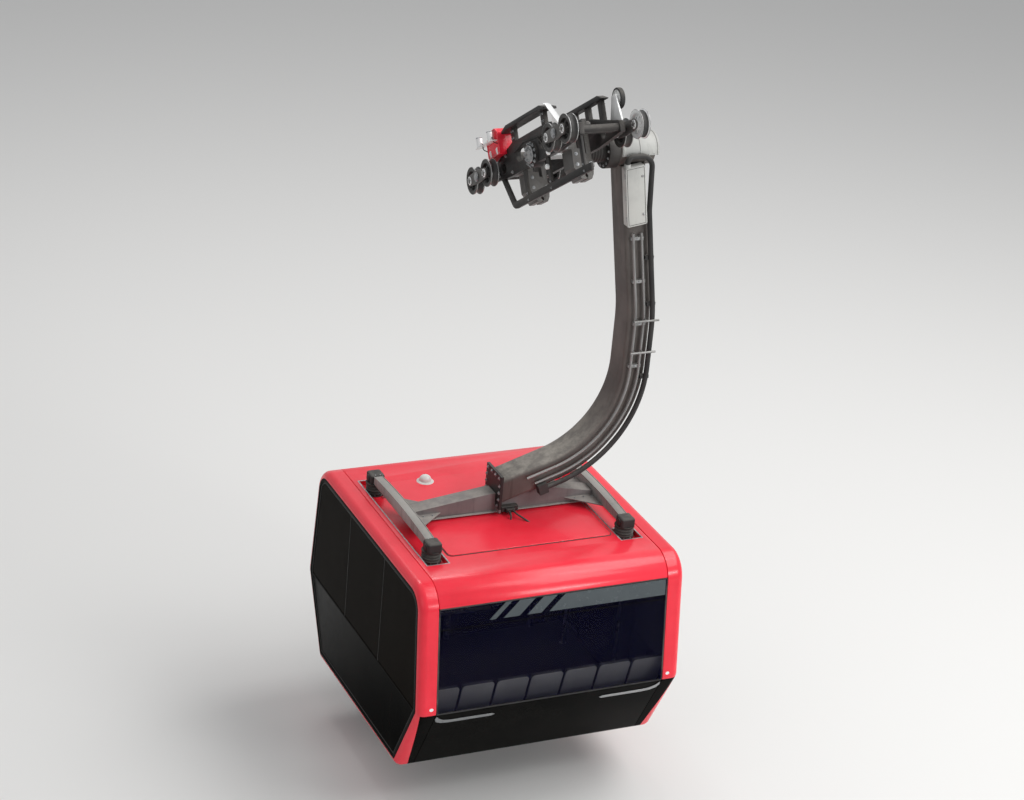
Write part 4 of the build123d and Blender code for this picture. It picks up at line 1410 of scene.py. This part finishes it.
@dataclass
class RunningGear(Assembly):
    """The rollers, rockers and guide wheels.

    Args:
        gauge: distance between the track ropes.
        rocker_place: distance of a rocker's pin from the middle, along the ropes.
        roller_step: distance of a roller's pin from its rocker's pin.
        axle_lift: height of the pins over the ropes' middle.
        wheel_place: distance of a guide wheel from the middle, along the ropes.
        wheel_lift: height of its axle.
        wheel_x: its place across.
    """

    gauge: float = 0.88
    rocker_place: float = 1.13
    roller_step: float = 0.22
    axle_lift: float = 0.168
    wheel_place: float = 1.12
    wheel_lift: float = 0.52
    wheel_x: float = 0.342

    # Painted light: these rollers take the bright alloy finish to stand for the rollers in sunlight, the rest
    # take the dark roller paint.
    BRIGHT = ("roller_uphill_outer_a", "roller_downhill_outer_b")

    def build(self) -> None:
        """Makes the gear at both ends and on both sides."""
        for end in End:
            for sign, side in SIDES:
                name = f"{end.word}_{side}"
                self._rocker(name, sign, end.value)
                for step, letter in ((-1, "a"), (1, "b")):
                    u = end.value * self.rocker_place + step * self.roller_step
                    self._roller(f"roller_{name}_{letter}",
                                 on_ropes(sign * self.gauge / 2, u, self.axle_lift))
            self._guide_wheel(end)

    def _roller(self, body: str, centre: Vector) -> None:
        """A ribbed wheel with a lining in its groove and a worn edge on both flanges.

        Args:
            body: the roller's body and node.
            centre: the middle of its pin.
        """
        half = [(0.056, 0.0253), (0.056, 0.053), (0.053, 0.057), (0.016, 0.064), (0.014, 0.067), (0.014, 0.1),
                (0.017, 0.106), (0.046, 0.1165), (0.049, 0.121), (0.049, 0.1615), (0.0395, 0.1615),
                (0.031, 0.151), (0.031, 0.1335)]
        form = Form().lathe(mirrored(half), centre, ACROSS, 56)
        rib = [(0.012, 0.058), (0.044, 0.058), (0.02, 0.109), (0.012, 0.109)]
        for i in range(6):
            spoke = DOWNHILL * math.cos(math.tau * i / 6) + LIFT * math.sin(math.tau * i / 6)
            around = spoke.cross(ACROSS) * 0.009
            for face in SIGNS:
                form.prism([centre + ACROSS * face * x + spoke * r - around / 2 for x, r in rib], around)
        # Painted light: the sunlit rollers are bright alloy, the others dark roller paint.
        finish = Finishes.ALLOY if body in self.BRIGHT else Finishes.WHEEL
        self.add(f"{body}_wheel", form, finish, sharp=35, body=body, slot="roller", replaces=[body])
        rope, edge = 0.0435, 0.0305
        groove = [(edge, 0.134)]
        for i in range(9):
            x = edge - 2 * edge * i / 8
            groove.append((x, 0.1835 - math.sqrt(rope**2 - x**2)))
        groove.append((-edge, 0.134))
        self.add(f"{body}_lining", Form().lathe(groove, centre, ACROSS, 56), Finishes.LINER, body=body,
                 slot="roller")
        form = Form()
        rim = [(0.0395, 0.1605), (0.0385, 0.1635), (0.041, 0.165), (0.047, 0.165), (0.0498, 0.163),
               (0.05, 0.1605)]
        spots = []
        for face in SIGNS:
            form.lathe([(face * x, r) for x, r in rim], centre, ACROSS, 56)
            spots += circle(centre + ACROSS * face * 0.0145, ACROSS * face, 0.083, 6)
        self.add(f"{body}_edges", form, Finishes.MACHINED, body=body)
        self.bolts(f"{body}_bolts", spots, 0.007, 0.006, body=body)

    def _rocker(self, name: str, sign: int, way: int) -> None:
        """Bearing covers and caps on a rocker's outer faces, and the nut on its pin.

        Args:
            name: its end and side.
            sign: 1 for the outer side, -1 for the inner side.
            way: 1 for the downhill end, -1 for the uphill end.
        """
        body = f"rocker_{name}"
        pin = on_ropes(sign * self.gauge / 2, way * self.rocker_place, self.axle_lift)
        covers, caps = Form(), Form()
        spots = []
        for step, face in CORNERS:
            out = ACROSS * face
            foot = pin + DOWNHILL * step * self.roller_step + out * 0.0755
            covers.lathe([(0, 0.0255), (0, 0.05), (0.007, 0.05), (0.011, 0.045), (0.011, 0.0255)], foot,
                         out, 32)
            caps.lathe(cap(0.014, 0.024, 0.019, 0.022, 0.019), foot, out, 24)
            spots += circle(foot + out * 0.011, out, 0.037, 6)
        self.add(f"{body}_covers", covers, Finishes.ALLOY, 0.001, body=body)
        self.add(f"{body}_caps", caps, Finishes.MACHINED, body=body)
        self.bolts(f"{body}_bolts", spots, 0.004, 0.004, Finishes.CASTING, body)
        out = ACROSS * sign
        foot = pin + out * 0.0815
        nut = Form().lathe(washer(0.033, 0.056, 0.007), foot, out, 32)
        nut.lathe(cap(0.007, 0.044, 0.016, 0.018, 0.04), foot, out, 6)
        self.add(f"axle_nut_{name}", nut, Finishes.ZINC, 0.001, body="carriage")

    def _guide_wheel(self, end: End) -> None:
        """A dished wheel with a rubber tyre, and the cap on its axle.

        Args:
            end: which end.
        """
        body = f"guide_wheel_{end.word}"
        centre = on_ropes(self.wheel_x, end.value * self.wheel_place, self.wheel_lift)
        half = [(0.025, 0.0203), (0.025, 0.043), (0.022, 0.047), (0.009, 0.051), (0.008, 0.054),
                (0.008, 0.084),
                (0.011, 0.088), (0.025, 0.092), (0.026, 0.095), (0.026, 0.1)]
        disc = Form().lathe(mirrored(half), centre, ACROSS, 48)
        self.add(f"{body}_disc", disc, Finishes.ALLOY, body=body, replaces=[body])
        tread = [(0.0275, 0.0975), (0.028, 0.102), (0.028, 0.111), (0.025, 0.117), (0.018, 0.12)]
        tyre = Form().lathe(mirrored(tread), centre, ACROSS, 56)
        self.add(f"{body}_tyre", tyre, Finishes.RUBBER, body=body, slot="guide_wheel")
        spots = circle(centre + ACROSS * 0.0085, ACROSS, 0.068, 6)
        self.bolts(f"{body}_bolts", spots, 0.006, 0.006, Finishes.CASTING, body)
        profile = [(0.0275, PINHOLE), (0.0275, 0.0195), (0.031, 0.0195), (0.031, 0.032), (0.038, 0.032),
                   (0.041, 0.027), (0.041, PINHOLE)]
        form = Form().lathe(profile, centre, ACROSS, 24)
        self.add(f"guide_axle_cap_{end.word}", form, Finishes.MACHINED, body="carriage")


@dataclass
class Carriage(Assembly):
    """What is fixed to the carriage's frame: bolts, grips, hood and damper drum.

    Args:
        frame_x: distance of the side plates' middle planes from the middle.
        plate_face: distance of the plates' outer faces.
        grip_place: distance of a grip from the middle, along the ropes.
        hood_face: place of the hood's inner face across.
        cans: places of the grease cans along the ropes.
    """

    frame_x: float = 0.25
    plate_face: float = 0.28
    grip_place: float = 0.62
    hood_face: float = -0.372
    cans: tuple[float, ...] = (0.8, 1.12)

    BODY = "carriage"

    def build(self) -> None:
        """Makes the carriage's pieces."""
        self._frame_bolts()
        self._line_caps()
        self._drum()
        self._hood()
        for end in End:
            self._grip(end)

    def _frame_bolts(self) -> None:
        """Bolts of the plates, ties, posts and guard beam."""
        post = self.frame_x + 0.025
        large = circle(on_ropes(-0.31, 0, 0.17), -ACROSS, 0.129, 12)
        large += circle(on_ropes(-0.338, 0, 0.17), -ACROSS, 0.078, 8)
        large += [(on_ropes(x, u + side, 0.43), LIFT)
                  for u in (-0.43, 0.43) for x in (-0.17, 0.17) for side in (-0.028, 0.028)]
        small = [(on_ropes(post, u + side, 0.525), ACROSS)
                 for u in (-0.85, -0.5, -0.15, 0.15, 0.5, 0.85) for side in (-0.025, 0.025)]
        small += [(on_ropes(-post, u + side, v), -ACROSS)
                  for u in (-0.38, 0.48) for side in (-0.025, 0.025) for v in (0.47, 0.55)]
        small += [(on_ropes(-0.264, u, v), -ACROSS) for u in (-1.225, -0.33, 0.33) for v in (-0.29, -0.215)]
        for sign, way in CORNERS:
            spots = ((1.23, 0.172), (0.99, 0.13), (0.62, 0.1), (0.75, 0.32))
            large += [(on_ropes(sign * self.plate_face, way * u, v), ACROSS * sign) for u, v in spots]
        self.bolts("frame_bolts_large", large, 0.013, 0.012)
        self.bolts("frame_bolts_small", small, 0.009, 0.008)

    def _line_caps(self) -> None:
        """Two bright caps on the inner plate, the grease lines from the cans and the cans' lids."""
        form = Form()
        for x, u, v, radius in ((-0.28, -0.45, 0.1, 0.036), (-0.264, -0.33, -0.045, 0.032)):
            profile = [(-0.001, PINHOLE), (-0.001, radius), (0.022, radius), (0.032, radius * 0.7),
                       (0.034, PINHOLE)]
            form.lathe(profile, on_ropes(x, u, v), -ACROSS, 28)
        self.add("line_caps", form, Finishes.ALLOY)
        can_x, runs, lids = -0.42, [], Form()
        lid = [(0.109, PINHOLE), (0.109, 0.0385), (0.1145, 0.0395), (0.119, 0.036), (0.119, PINHOLE)]
        for u, step in zip(self.cans, (0.0, 0.02)):
            runs.append([on_ropes(can_x, u - 0.034, 0.55), on_ropes(can_x, u - 0.075, 0.55),
                         on_ropes(can_x, u - 0.075, 0.49 - step),
                         on_ropes(-0.288, u - 0.075, 0.44 - step * 2)])
            lids.lathe(lid, on_ropes(can_x, u, 0.515), LIFT, 28)
        runs.append([on_ropes(-0.286, u, v) for u, v in ((-0.4, 0.1), (-0.2, 0.33), (0.2, 0.36), (0.5, 0.3))])
        self.pipes("grease_lines", path(runs), 0.006, 0.03, 8)
        self.add("can_lids", lids, Finishes.ZINC)

    def _drum(self) -> None:
        """Ribs round the swing damper, and the bolts of its flange."""
        base = places([(on_ropes(0.35, 0, 0.17), ACROSS)])
        sizes = {"Count": 7, "Pitch": 0.036, "Radius": 0.13, "Bead": 0.009}
        self.repeat(self.recipes.ribs, "drum_ribs", base, Finishes.CASTING, **sizes)
        self.bolts("drum_bolts", circle(on_ropes(0.6, 0, 0.17), -ACROSS, 0.182, 14), 0.011, 0.01)

    def _hood(self) -> None:
        """The hood's hem, latches and rivets."""
        face = self.hood_face
        corners = ((0.69, 0.345), (0.69, 0.6), (0.76, 0.655), (0.925, 0.64), (1.025, 0.535), (1.025, 0.345))
        hem = path([[on_ropes(face, u, v) for u, v in corners]], True)
        self.pipes("hood_hem", hem, 0.006, 0.02, 10, Finishes.RED)
        form = Form()
        for u in (0.76, 0.95):
            for half, low, high, out in ((0.017, 0.352, 0.43, 0.006), (0.011, 0.375, 0.418, 0.014)):
                corners = ((-half, low), (half, low), (half, high), (-half, high))
                form.prism([on_ropes(face, u + du, v) for du, v in corners], -ACROSS * out)
        self.add("hood_latches", form, Finishes.ALLOY, 0.002)
        spots = [(on_ropes(face, 0.715 + 0.048 * i, 0.36), -ACROSS) for i in range(7) if i not in (1, 5)]
        self.bolts("hood_rivets", spots, 0.005, 0.004)

    def _grip(self, end: End) -> None:
        """A grip's fixings, spring and lever roller.

        Args:
            end: which end.
        """
        u, word = end.value * self.grip_place, end.word
        spots, pins = [], Form()
        for way in SIGNS:
            for x, step, v in ((-0.185, 0.09, 0.09), (-0.185, 0.09, 0.165), (-0.1, 0.13, 0.0),
                               (-0.1, 0.13, -0.12)):
                spots.append((on_ropes(x, u + way * step, v), DOWNHILL * way))
            pins.lathe(washer(0.0185, 0.03, 0.005), on_ropes(0.07, u + way * 0.1305, -0.13), DOWNHILL * way,
                       24)
        self.bolts(f"grip_bolts_{word}", spots, 0.013, 0.012)
        base = places([(on_ropes(-0.196, u, 0.25), ACROSS)])
        sizes = {"Radius": 0.05, "Height": 0.05, "Turns": 3.0, "Wire": 0.007}
        self.repeat(self.recipes.coils, f"grip_spring_{word}", base, Finishes.MACHINED, **sizes)
        self.add(f"jaw_pin_washers_{word}", pins, Finishes.ZINC)
        profile = [(0, 0.014), (0, 0.047), (0.004, 0.045), (0.004, 0.014)]
        ring = Form().lathe(profile, on_ropes(0.17, u, 0.34), ACROSS, 32)
        self.add(f"lever_ring_{word}", ring, Finishes.ALLOY, body=f"jaw_{word}")


@dataclass
class Hanger(Assembly):
    """What is fixed to the arm and its head.

    Args:
        face_y: the arm's uphill face.
        panel: middle of the panel's foot on that face.
        tilt: the arm's lean in radians.
        head: radius of the head's cover.
    """

    face_y: float = -0.0999
    panel: tuple[float, float] = (0.9599, -0.345)
    tilt: float = math.atan(0.1531)
    head: float = 0.199

    def on_panel(self, across: float, up: float, out: float) -> Vector:
        """A place on the panel box.

        Args:
            across: level distance from its middle.
            up: distance up its lean.
            out: distance from the arm's face.

        Returns:
            The place.
        """
        level = Vector((math.cos(self.tilt), 0, math.sin(self.tilt)))
        rise = Vector((-math.sin(self.tilt), 0, math.cos(self.tilt)))
        return Vector((self.panel[0], self.face_y - out, self.panel[1])) + level * across + rise * up

    def build(self) -> None:
        """Makes the hanger's pieces."""
        self._panel()
        self._head()
        self._brackets()

    def _panel(self) -> None:
        """The panel's door seam, hinges, locks and screws."""
        half_x, half_z, face = 0.11, 0.352, 0.105
        corners = ((-half_x, -half_z), (half_x, -half_z), (half_x, half_z), (-half_x, half_z))
        self.pipes("panel_seam", path([[self.on_panel(x, z, face) for x, z in corners]], True), 0.003,
                   0.012, 6)
        hinges = [[self.on_panel(-0.127, z + half, 0.088) for half in (-0.03, 0.03)]
                  for z in (-0.27, 0.0, 0.27)]
        self.pipes("panel_hinges", path(hinges), 0.009, 0.001, 12, Finishes.ZINC)
        locks = Form()
        for z in (-0.24, 0.24):
            locks.lathe(cap(-0.001, 0.016, 0.005, 0.008, 0.012), self.on_panel(0.085, z, face), UPHILL_WAY,
                        24)
        self.add("panel_locks", locks, Finishes.MACHINED)
        spots = [(self.on_panel(x, z, face), UPHILL_WAY) for x in (-0.119, 0.119) for z in (-0.361, 0.361)]
        self.bolts("panel_screws", spots, 0.004, 0.003)

    def _head(self) -> None:
        """Bands and rivets on the head's cover."""
        runs = []
        for x in (0.79, 1.0, 1.225):
            angles = [math.radians(-7.5) + math.radians(195) * i / 24 for i in range(25)]
            runs.append([PIVOT + Vector((x, self.head * math.cos(a), self.head * math.sin(a)))
                         for a in angles])
        self.pipes("head_bands", path(runs), 0.007, 0.001, 10, Finishes.BOX)
        spots = []
        for x in (0.83, 0.9, 0.97, 1.04, 1.11, 1.18):
            for way in SIGNS:
                facing = Vector((0, way * 0.997, -0.075))
                spots.append((PIVOT + Vector((x, 0, 0)) + facing * self.head, facing))
        self.bolts("head_rivets", spots, 0.005, 0.004)

    def _brackets(self) -> None:
        """Bolts on the rails' brackets and on the hose's clamps."""
        spots = []
        for z in (-0.9, -1.45, -2.0, -2.55):
            middle = 1.24 - 0.1531 * max(0.0, z + 1.9)
            spots.append((Vector((middle - 0.02, self.face_y - 0.045, z)), UPHILL_WAY))
        self.bolts("bracket_bolts", spots, 0.009, 0.007)


@dataclass
class Suspension(Assembly):
    """The beam, its bars, the rubber dampers and the arm's foot.

    Args:
        bar_x: distance of a bar from the middle.
        damper_y: distance of a damper from the middle.
        foot_x: the foot's place across.
    """

    bar_x: float = 1.256
    damper_y: float = 0.905
    foot_x: float = -0.07

    def build(self) -> None:
        """Makes the suspension's pieces."""
        self._dampers()
        self._bars()
        self._pans()
        self._foot()
        self._flanges()

    def _dampers(self) -> None:
        """Ribbed rubber boots between two plates."""
        boots, plates = Form(), Form()
        spots = []
        folds = [(0.014 + 0.127 * i / 32, 0.104 - 0.014 * math.cos(math.tau * 3.5 * i / 32))
                 for i in range(33)]
        for sx, sy in CORNERS:
            foot = in_cabin(sx * self.bar_x, sy * self.damper_y, 0.08)
            boots.lathe([(0.014, PINHOLE), *folds, (0.141, PINHOLE)], foot, UP, 44)
            for low in (0.0, 0.139):
                plates.lathe([(low, PINHOLE), (low, 0.12), (low + 0.002, 0.122), (low + 0.014, 0.122),
                              (low + 0.016, 0.12), (low + 0.016, PINHOLE)], foot, UP, 44)
            spots += circle(foot + UP * 0.016, UP, 0.111, 8)
        self.add("damper_boots", boots, Finishes.RUBBER, sharp=60, replaces=["dampers"])
        self.add("damper_plates", plates, Finishes.CASTING)
        self.bolts("damper_bolts", spots, 0.006, 0.006)

    def _bars(self) -> None:
        """Round end drums on the bars, cap strips along them and bolts over the dampers."""
        drums, strips, boots = Form(), Form(), Form()
        spots = []
        for sx, sy in CORNERS:
            x = sx * self.bar_x
            for face in SIGNS:
                drums.lathe(cap(0.08, 0.045, 0.096, 0.102, 0.036), in_cabin(x, sy * 0.93, 0.285),
                            ACROSS * face, 32)
            near, far = sorted((sy * 0.83, sy * 1.015))
            boots.slab(in_cabin(x - 0.09, near, 0.222), in_cabin(x + 0.09, far, 0.352))
            top = in_cabin(x, sy * self.damper_y, 0.331)
            for dx in (-0.03, 0.03):
                for dy in (-0.05, 0.05):
                    spots.append((top + Vector((dx, dy, 0.0075 if dy * sy < 0 else -0.002)), UP))
        crown = [(y, 0.3195 + 0.0555 * (1 - y * y))
                 for y in (-0.8, -0.6, -0.4, -0.2, 0.0, 0.2, 0.4, 0.6, 0.8)]
        edge = [(-1.0, 0.3195), *crown, (1.0, 0.3195)]
        for sx, side in CORNERS:
            x = sx * self.bar_x + side * 0.053
            outline = [in_cabin(x - 0.004, y, z + 0.004) for y, z in edge]
            outline += [in_cabin(x - 0.004, y, z - 0.012) for y, z in reversed(edge)]
            strips.prism(outline, ACROSS * 0.008)
        self.add("bar_drums", drums, Finishes.CASTING)
        self.add("bar_boots", boots, Finishes.RUBBER, 0.028, 5)
        self.add("bar_strips", strips, Finishes.BARS, 0.0015)
        self.bolts("bar_bolts", spots, 0.011, 0.01)

    def _pans(self) -> None:
        """Rims round the pans that the dampers stand in."""
        rims = Form()
        for sx in SIGNS:
            middle = sx * self.bar_x
            for side in SIGNS:
                x = middle + side * 0.14
                rims.slab(in_cabin(x - 0.009, -1.138, 0.144), in_cabin(x + 0.009, 1.138, 0.1505))
            for sy in SIGNS:
                y = sy * 1.13
                rims.slab(in_cabin(middle - 0.149, y - 0.009, 0.1438),
                          in_cabin(middle + 0.149, y + 0.009, 0.1502))
        self.add("pan_rims", rims, Finishes.ZINC, 0.002)

    def _foot(self) -> None:
        """Bolts of the arm's end plate, and the dark bracket with its cables under the foot."""
        face = self.foot_x - 0.036
        grid = [(y, z) for y in (-0.165, -0.055, 0.055, 0.165) for z in (0.29, 0.655)]
        grid += [(y, z) for z in (0.38, 0.47, 0.56) for y in (-0.19, 0.19)]
        cover = Form().slab(in_cabin(face, -0.219, 0.252), in_cabin(self.foot_x + 0.001, 0.219, 0.694))
        self.add("foot_cover", cover, Finishes.CASTING, 0.005)
        self.bolts("foot_bolts", [(in_cabin(face, y, z), -ACROSS) for y, z in grid], 0.014, 0.012)
        bracket = Form().slab(in_cabin(-0.05, -0.185, 0.2), in_cabin(0.17, -0.111, 0.268))
        bracket.slab(in_cabin(0.0, -0.225, 0.205), in_cabin(0.12, -0.185, 0.25))
        self.add("foot_bracket", bracket, Finishes.CASTING, 0.006)
        short = ((0.03, -0.222, 0.225), (0.03, -0.29, 0.225), (0.02, -0.33, 0.145))
        long = ((0.09, -0.222, 0.225), (0.1, -0.31, 0.222), (0.2, -0.42, 0.168), (0.23, -0.44, 0.145))
        runs = [[in_cabin(*spot) for spot in cable] for cable in (short, long)]
        self.pipes("foot_cables", path(runs), 0.011, 0.05, 12)

    def _flanges(self) -> None:
        """Thin flanges along the beam's lower edges, and bolts on the gussets."""
        form = Form()
        for sy in SIGNS:
            near, far = sorted((sy * 0.1095, sy * 0.142))
            form.slab(in_cabin(-1.199, near, 0.186), in_cabin(1.199, far, 0.198))
        self.add("beam_flanges", form, Finishes.BARS, 0.002)
        spots = [(in_cabin(sx * x, sy * y, 0.259), UP)
                 for sx, sy in CORNERS for x, y in ((1.17, 0.16), (1.17, 0.34), (1.06, 0.16), (0.94, 0.16))]
        self.bolts("gusset_bolts", spots, 0.009, 0.008)


@dataclass
class Sides(Assembly):
    """Gaskets, seams and handles of both sides.

    Args:
        leaf_face: the door leaves' outer face.
        pane_face: the side panes' outer face.
        handle: distance of a handle from the leaf's edge, and the heights of its ends.
    """

    leaf_face: float = 1.752
    pane_face: float = 1.69
    handle: Place = (0.042, -1.27, -0.85)

    def build(self) -> None:
        """Makes the pieces of the doors and the fixed panes."""
        for end in End:
            self._leaf(end)
        self._pane_lines()

    def _leaf(self, end: End) -> None:
        """A door leaf's gasket, edge seal, bar handle and screws.

        Args:
            end: which leaf.
        """
        way, body = end.value, f"leaf_{end.word}"
        corners = ((0.082, -1.338), (0.583, -1.338), (0.583, -0.252), (0.082, -0.252))
        gasket = path([[in_cabin(self.leaf_face - 0.012, way * y, z) for y, z in corners]], True)
        self.pipes(f"leaf_gasket_{end.word}", gasket, 0.009, 0.05, 10, body=body)
        near, far = sorted((way * 0.0012, way * 0.007))
        seal = Form().slab(in_cabin(1.716, near, -2.2), in_cabin(1.748, far, -0.16))
        self.add(f"leaf_seal_{end.word}", seal, Finishes.RUBBER, 0.001, body=body)
        edge, low, high = self.handle
        foot, grasp = self.leaf_face - 0.004, self.leaf_face + 0.025
        run = [in_cabin(x, way * edge, z)
               for x, z in ((foot, low), (grasp, low), (grasp, high), (foot, high))]
        self.pipes(f"leaf_handle_{end.word}", path([run]), 0.011, 0.018, 16, Finishes.SATIN, body)
        spots = [(in_cabin(self.leaf_face, way * 0.62, z), ACROSS)
                 for z in (-2.1, -1.8, -1.5, -1.2, -0.9, -0.6, -0.3)]
        self.bolts(f"leaf_screws_{end.word}", spots, 0.005, 0.003, Finishes.CASTING, body)

    def _pane_lines(self) -> None:
        """Joints of the side panes, strips along their sills, and the floor's bolts."""
        form = Form()
        face = -self.pane_face
        for y in (-0.56, 0.56):
            form.slab(in_cabin(face - 0.002, y - 0.006, -1.398), in_cabin(face + 0.002, y + 0.006, -0.002))
        self.add("pane_joints", form, Finishes.RUBBER, 0.0008)
        form = Form().slab(in_cabin(-1.6965, -1.725, -1.411), in_cabin(-1.689, 1.725, -1.389))
        for sy in SIGNS:
            near, far = sorted((sy * 0.705, sy * 1.725))
            form.slab(in_cabin(1.689, near, -1.411), in_cabin(1.6965, far, -1.389))
        self.add("sill_strips", form, Finishes.BLACK, 0.0015)
        spots = [(in_cabin(sign * 1.43, -1.1 + 0.2 * i, -2.42), -UP) for sign in SIGNS for i in range(12)]
        self.bolts("floor_bolts", spots, 0.009, 0.007)


@dataclass
class Seating(Assembly):
    """Padded seats and backs, with the moulded shells behind them, and the poles' fittings.

    Args:
        count: seats in a row.
        pitch: distance between their middles.
        seat: width, depth and thickness of a seat pad.
        back: width, height and thickness of a back pad.
        voxel: grain of the simulated mesh.
        frames: steps of the simulation.
    """

    count: int = 7
    pitch: float = 0.445
    seat: Place = (0.425, 0.44, 0.0595)
    back: Place = (0.425, 0.682, 0.0695)
    voxel: float = 0.016
    frames: int = 20

    def build(self) -> None:
        """Makes the pads of both rows."""
        seat = self._pad("seat", self.seat, 0.010, 2)
        back = self._pad("back", self.back, 0.011, 4)
        for end in End:
            self._row(f"seat_pads_{end.word}", seat, self.seat_frames(end), ["seat_pads"])
            self._row(f"back_pads_{end.word}", back, self.back_frames(end), ["back_pads"])
            self._shells(end)
        self._poles()

    def _across(self) -> list[float]:
        """Places of the seats across the cabin."""
        return [(i - (self.count - 1) / 2) * self.pitch for i in range(self.count)]

    def seat_frames(self, end: End) -> list[Matrix]:
        """The seats' middles on the bench, local y towards the wall."""
        turn = Matrix.Rotation(0 if end is End.DOWNHILL else math.pi, 4, "Z")
        return [Matrix.Translation(in_cabin(x, end.value * 1.29, -1.8645)) @ turn for x in self._across()]

    def back_frames(self, end: End) -> list[Matrix]:
        """The backs' middles on their rear faces, local y up the lean, local z into the cabin.

        Args:
            end: which row.

        Returns:
            One matrix for each seat.
        """
        way = end.value
        rise = Vector((0, way * 0.19, 0.655)).normalized()
        inward = Vector((0, -way * 0.655, 0.19)).normalized()
        frames = []
        for x in self._across():
            frames.append(Matrix((rise.cross(inward), rise, inward)).transposed().to_4x4())
            frames[-1].translation = in_cabin(x, way * 1.64, -1.4775)
        return frames

    def _pad(self, name: str, size: Place, swell: float, channels: int) -> bpy.types.Mesh:
        """A crowned pad on the plane z = 0, with sewn channels across its face.

        Args:
            name: the mesh's name.
            size: width, depth and thickness in the end.
            swell: how far a point may move.
            channels: number of sewn lines.

        Returns:
            The pad's mesh round the origin.
        """
        wide, deep, thick = size[0] / 2 - swell, size[1] / 2 - swell, size[2] - swell * 1.25
        form = Form().slab(Vector((-wide, -deep, 0.0)), Vector((wide, deep, thick)))
        start = form.mesh("pad_start", 0.018, 3)
        even = modified(start, "pad_even", "REMESH", mode="VOXEL", voxel_size=self.voxel,
                        use_smooth_shade=True)
        even = self._blown(even, swell)
        data = modified(even, f"{name}_pad", "SUBSURF", levels=1, render_levels=1)
        for vert in data.vertices:
            co = vert.co
            top = max(0.0, min(1.0, (co.z - thick * 0.55) / (thick * 0.4)))
            for i in range(channels):
                line = size[1] * ((i + 1) / (channels + 1) - 0.5)
                co.z -= top * 0.011 * math.exp(-(((co.y - line) / 0.008) ** 2))
            co.z = min(max(co.z, 0.0), size[2])
            co.x = min(max(co.x, -size[0] / 2), size[0] / 2)
            co.y = min(max(co.y, -size[1] / 2), size[1] / 2)
        return data

    def _blown(self, even: bpy.types.Mesh, swell: float) -> bpy.types.Mesh:
        """The mesh after its cloth has been blown up.

        Args:
            even: the remeshed pad.
            swell: how far a point may move.

        Returns:
            The swollen mesh.
        """
        rest = [vert.co.copy() for vert in even.vertices]
        carrier = linked("carrier", even)
        scene = bpy.context.scene
        cloth = carrier.modifiers.new("cloth", "CLOTH")
        cloth.settings.quality = 5
        cloth.settings.mass = 0.3
        cloth.settings.tension_stiffness = 15
        cloth.settings.compression_stiffness = 15
        cloth.settings.bending_stiffness = 0.5
        cloth.settings.use_pressure = True
        cloth.settings.uniform_pressure_force = 4.0
        cloth.settings.effector_weights.gravity = 0
        cloth.point_cache.frame_start = 1
        cloth.point_cache.frame_end = self.frames
        for step in range(1, self.frames + 1):
            scene.frame_set(step)
        blown = settled(carrier, "pad_blown")
        scene.frame_set(1)
        for vert, before in zip(blown.vertices, rest):
            move = vert.co - before
            if move.length > swell:
                vert.co = before + move.normalized() * swell
        return blown

    def _row(self, name: str, pad: bpy.types.Mesh, frames: Sequence[Matrix], replaces: Sequence[str]) -> None:
        """Copies of a pad at a row's places, and the piping round each.

        Args:
            name: the piece's name.
            pad: the pad's mesh.
            frames: the places of its copies.
            replaces: the nodes that the pads stand for.
        """
        hull = BVHTree.FromPolygons([vert.co for vert in pad.vertices],
                                    [tuple(face.vertices) for face in pad.polygons])
        level = max(vert.co.z for vert in pad.vertices) * 0.62
        ring = []
        for i in range(48):
            angle = math.tau * i / 48
            way = Vector((math.cos(angle), math.sin(angle), 0))
            hit = hull.ray_cast(way + Vector((0, 0, level)), -way)[0]
            ring.append(hit - way * 0.002)
        form = Form()
        for frame_at in frames:
            copy = pad.copy()
            copy.transform(frame_at)
            form.bm.from_mesh(copy)
            bpy.data.meshes.remove(copy)
        piece = self.add(name, form, Finishes.SEATS, sharp=80, replaces=replaces)
        base = path([[frame_at @ spot for spot in ring] for frame_at in frames], True)
        self.pipes(f"{name}_piping", base, 0.0035, 0.004, 6, slot="seat_cover")

    def _shells(self, end: End) -> None:
        """Moulded shells behind the backs.

        Args:
            end: which row.
        """
        form = Form()
        for at in self.back_frames(end):
            outline = [at @ Vector((x, y, -0.001)) for x, y in rounded(0.205, 0.325, 0.05, 5)]
            form.prism(outline, at.to_3x3() @ Vector((0, 0, -0.012)))
        self.add(f"back_shells_{end.word}", form, Finishes.MOULDING, 0.003)

    def _poles(self) -> None:
        """Round flanges at both ends of the grab poles, and rails under the roof."""
        form = Form()
        profile = [(0, 0.0195), (0, 0.045), (0.005, 0.045), (0.009, 0.03), (0.03, 0.024), (0.03, 0.0195)]
        for sy in SIGNS:
            for z, way in ((-2.335, 1), (0.105, -1)):
                form.lathe(profile, in_cabin(1.44, sy * 0.7, z), UP * way, 32)
        self.add("pole_flanges", form, Finishes.SATIN)
        rail = ((-1.2, 0.106), (-1.2, 0.0), (1.2, 0.0), (1.2, 0.106))
        runs = [[in_cabin(x, y, z) for x, z in rail] for y in (-0.75, 0.75)]
        self.pipes("hand_rails", path(runs), 0.017, 0.06, 16, Finishes.SATIN)


def main() -> None:
    """Builds the car's looks, class by class."""
    logging.basicConfig(level=logging.INFO, format="%(message)s")
    kit = Kit()
    recipes = Recipes()
    Studio().build()
    for part in (Shell, Suspension, Hanger, RunningGear, Carriage, Sides, Seating):
        part(kit, recipes).build()
    Dresser(kit).build()


if __name__ == "__main__":
    main()
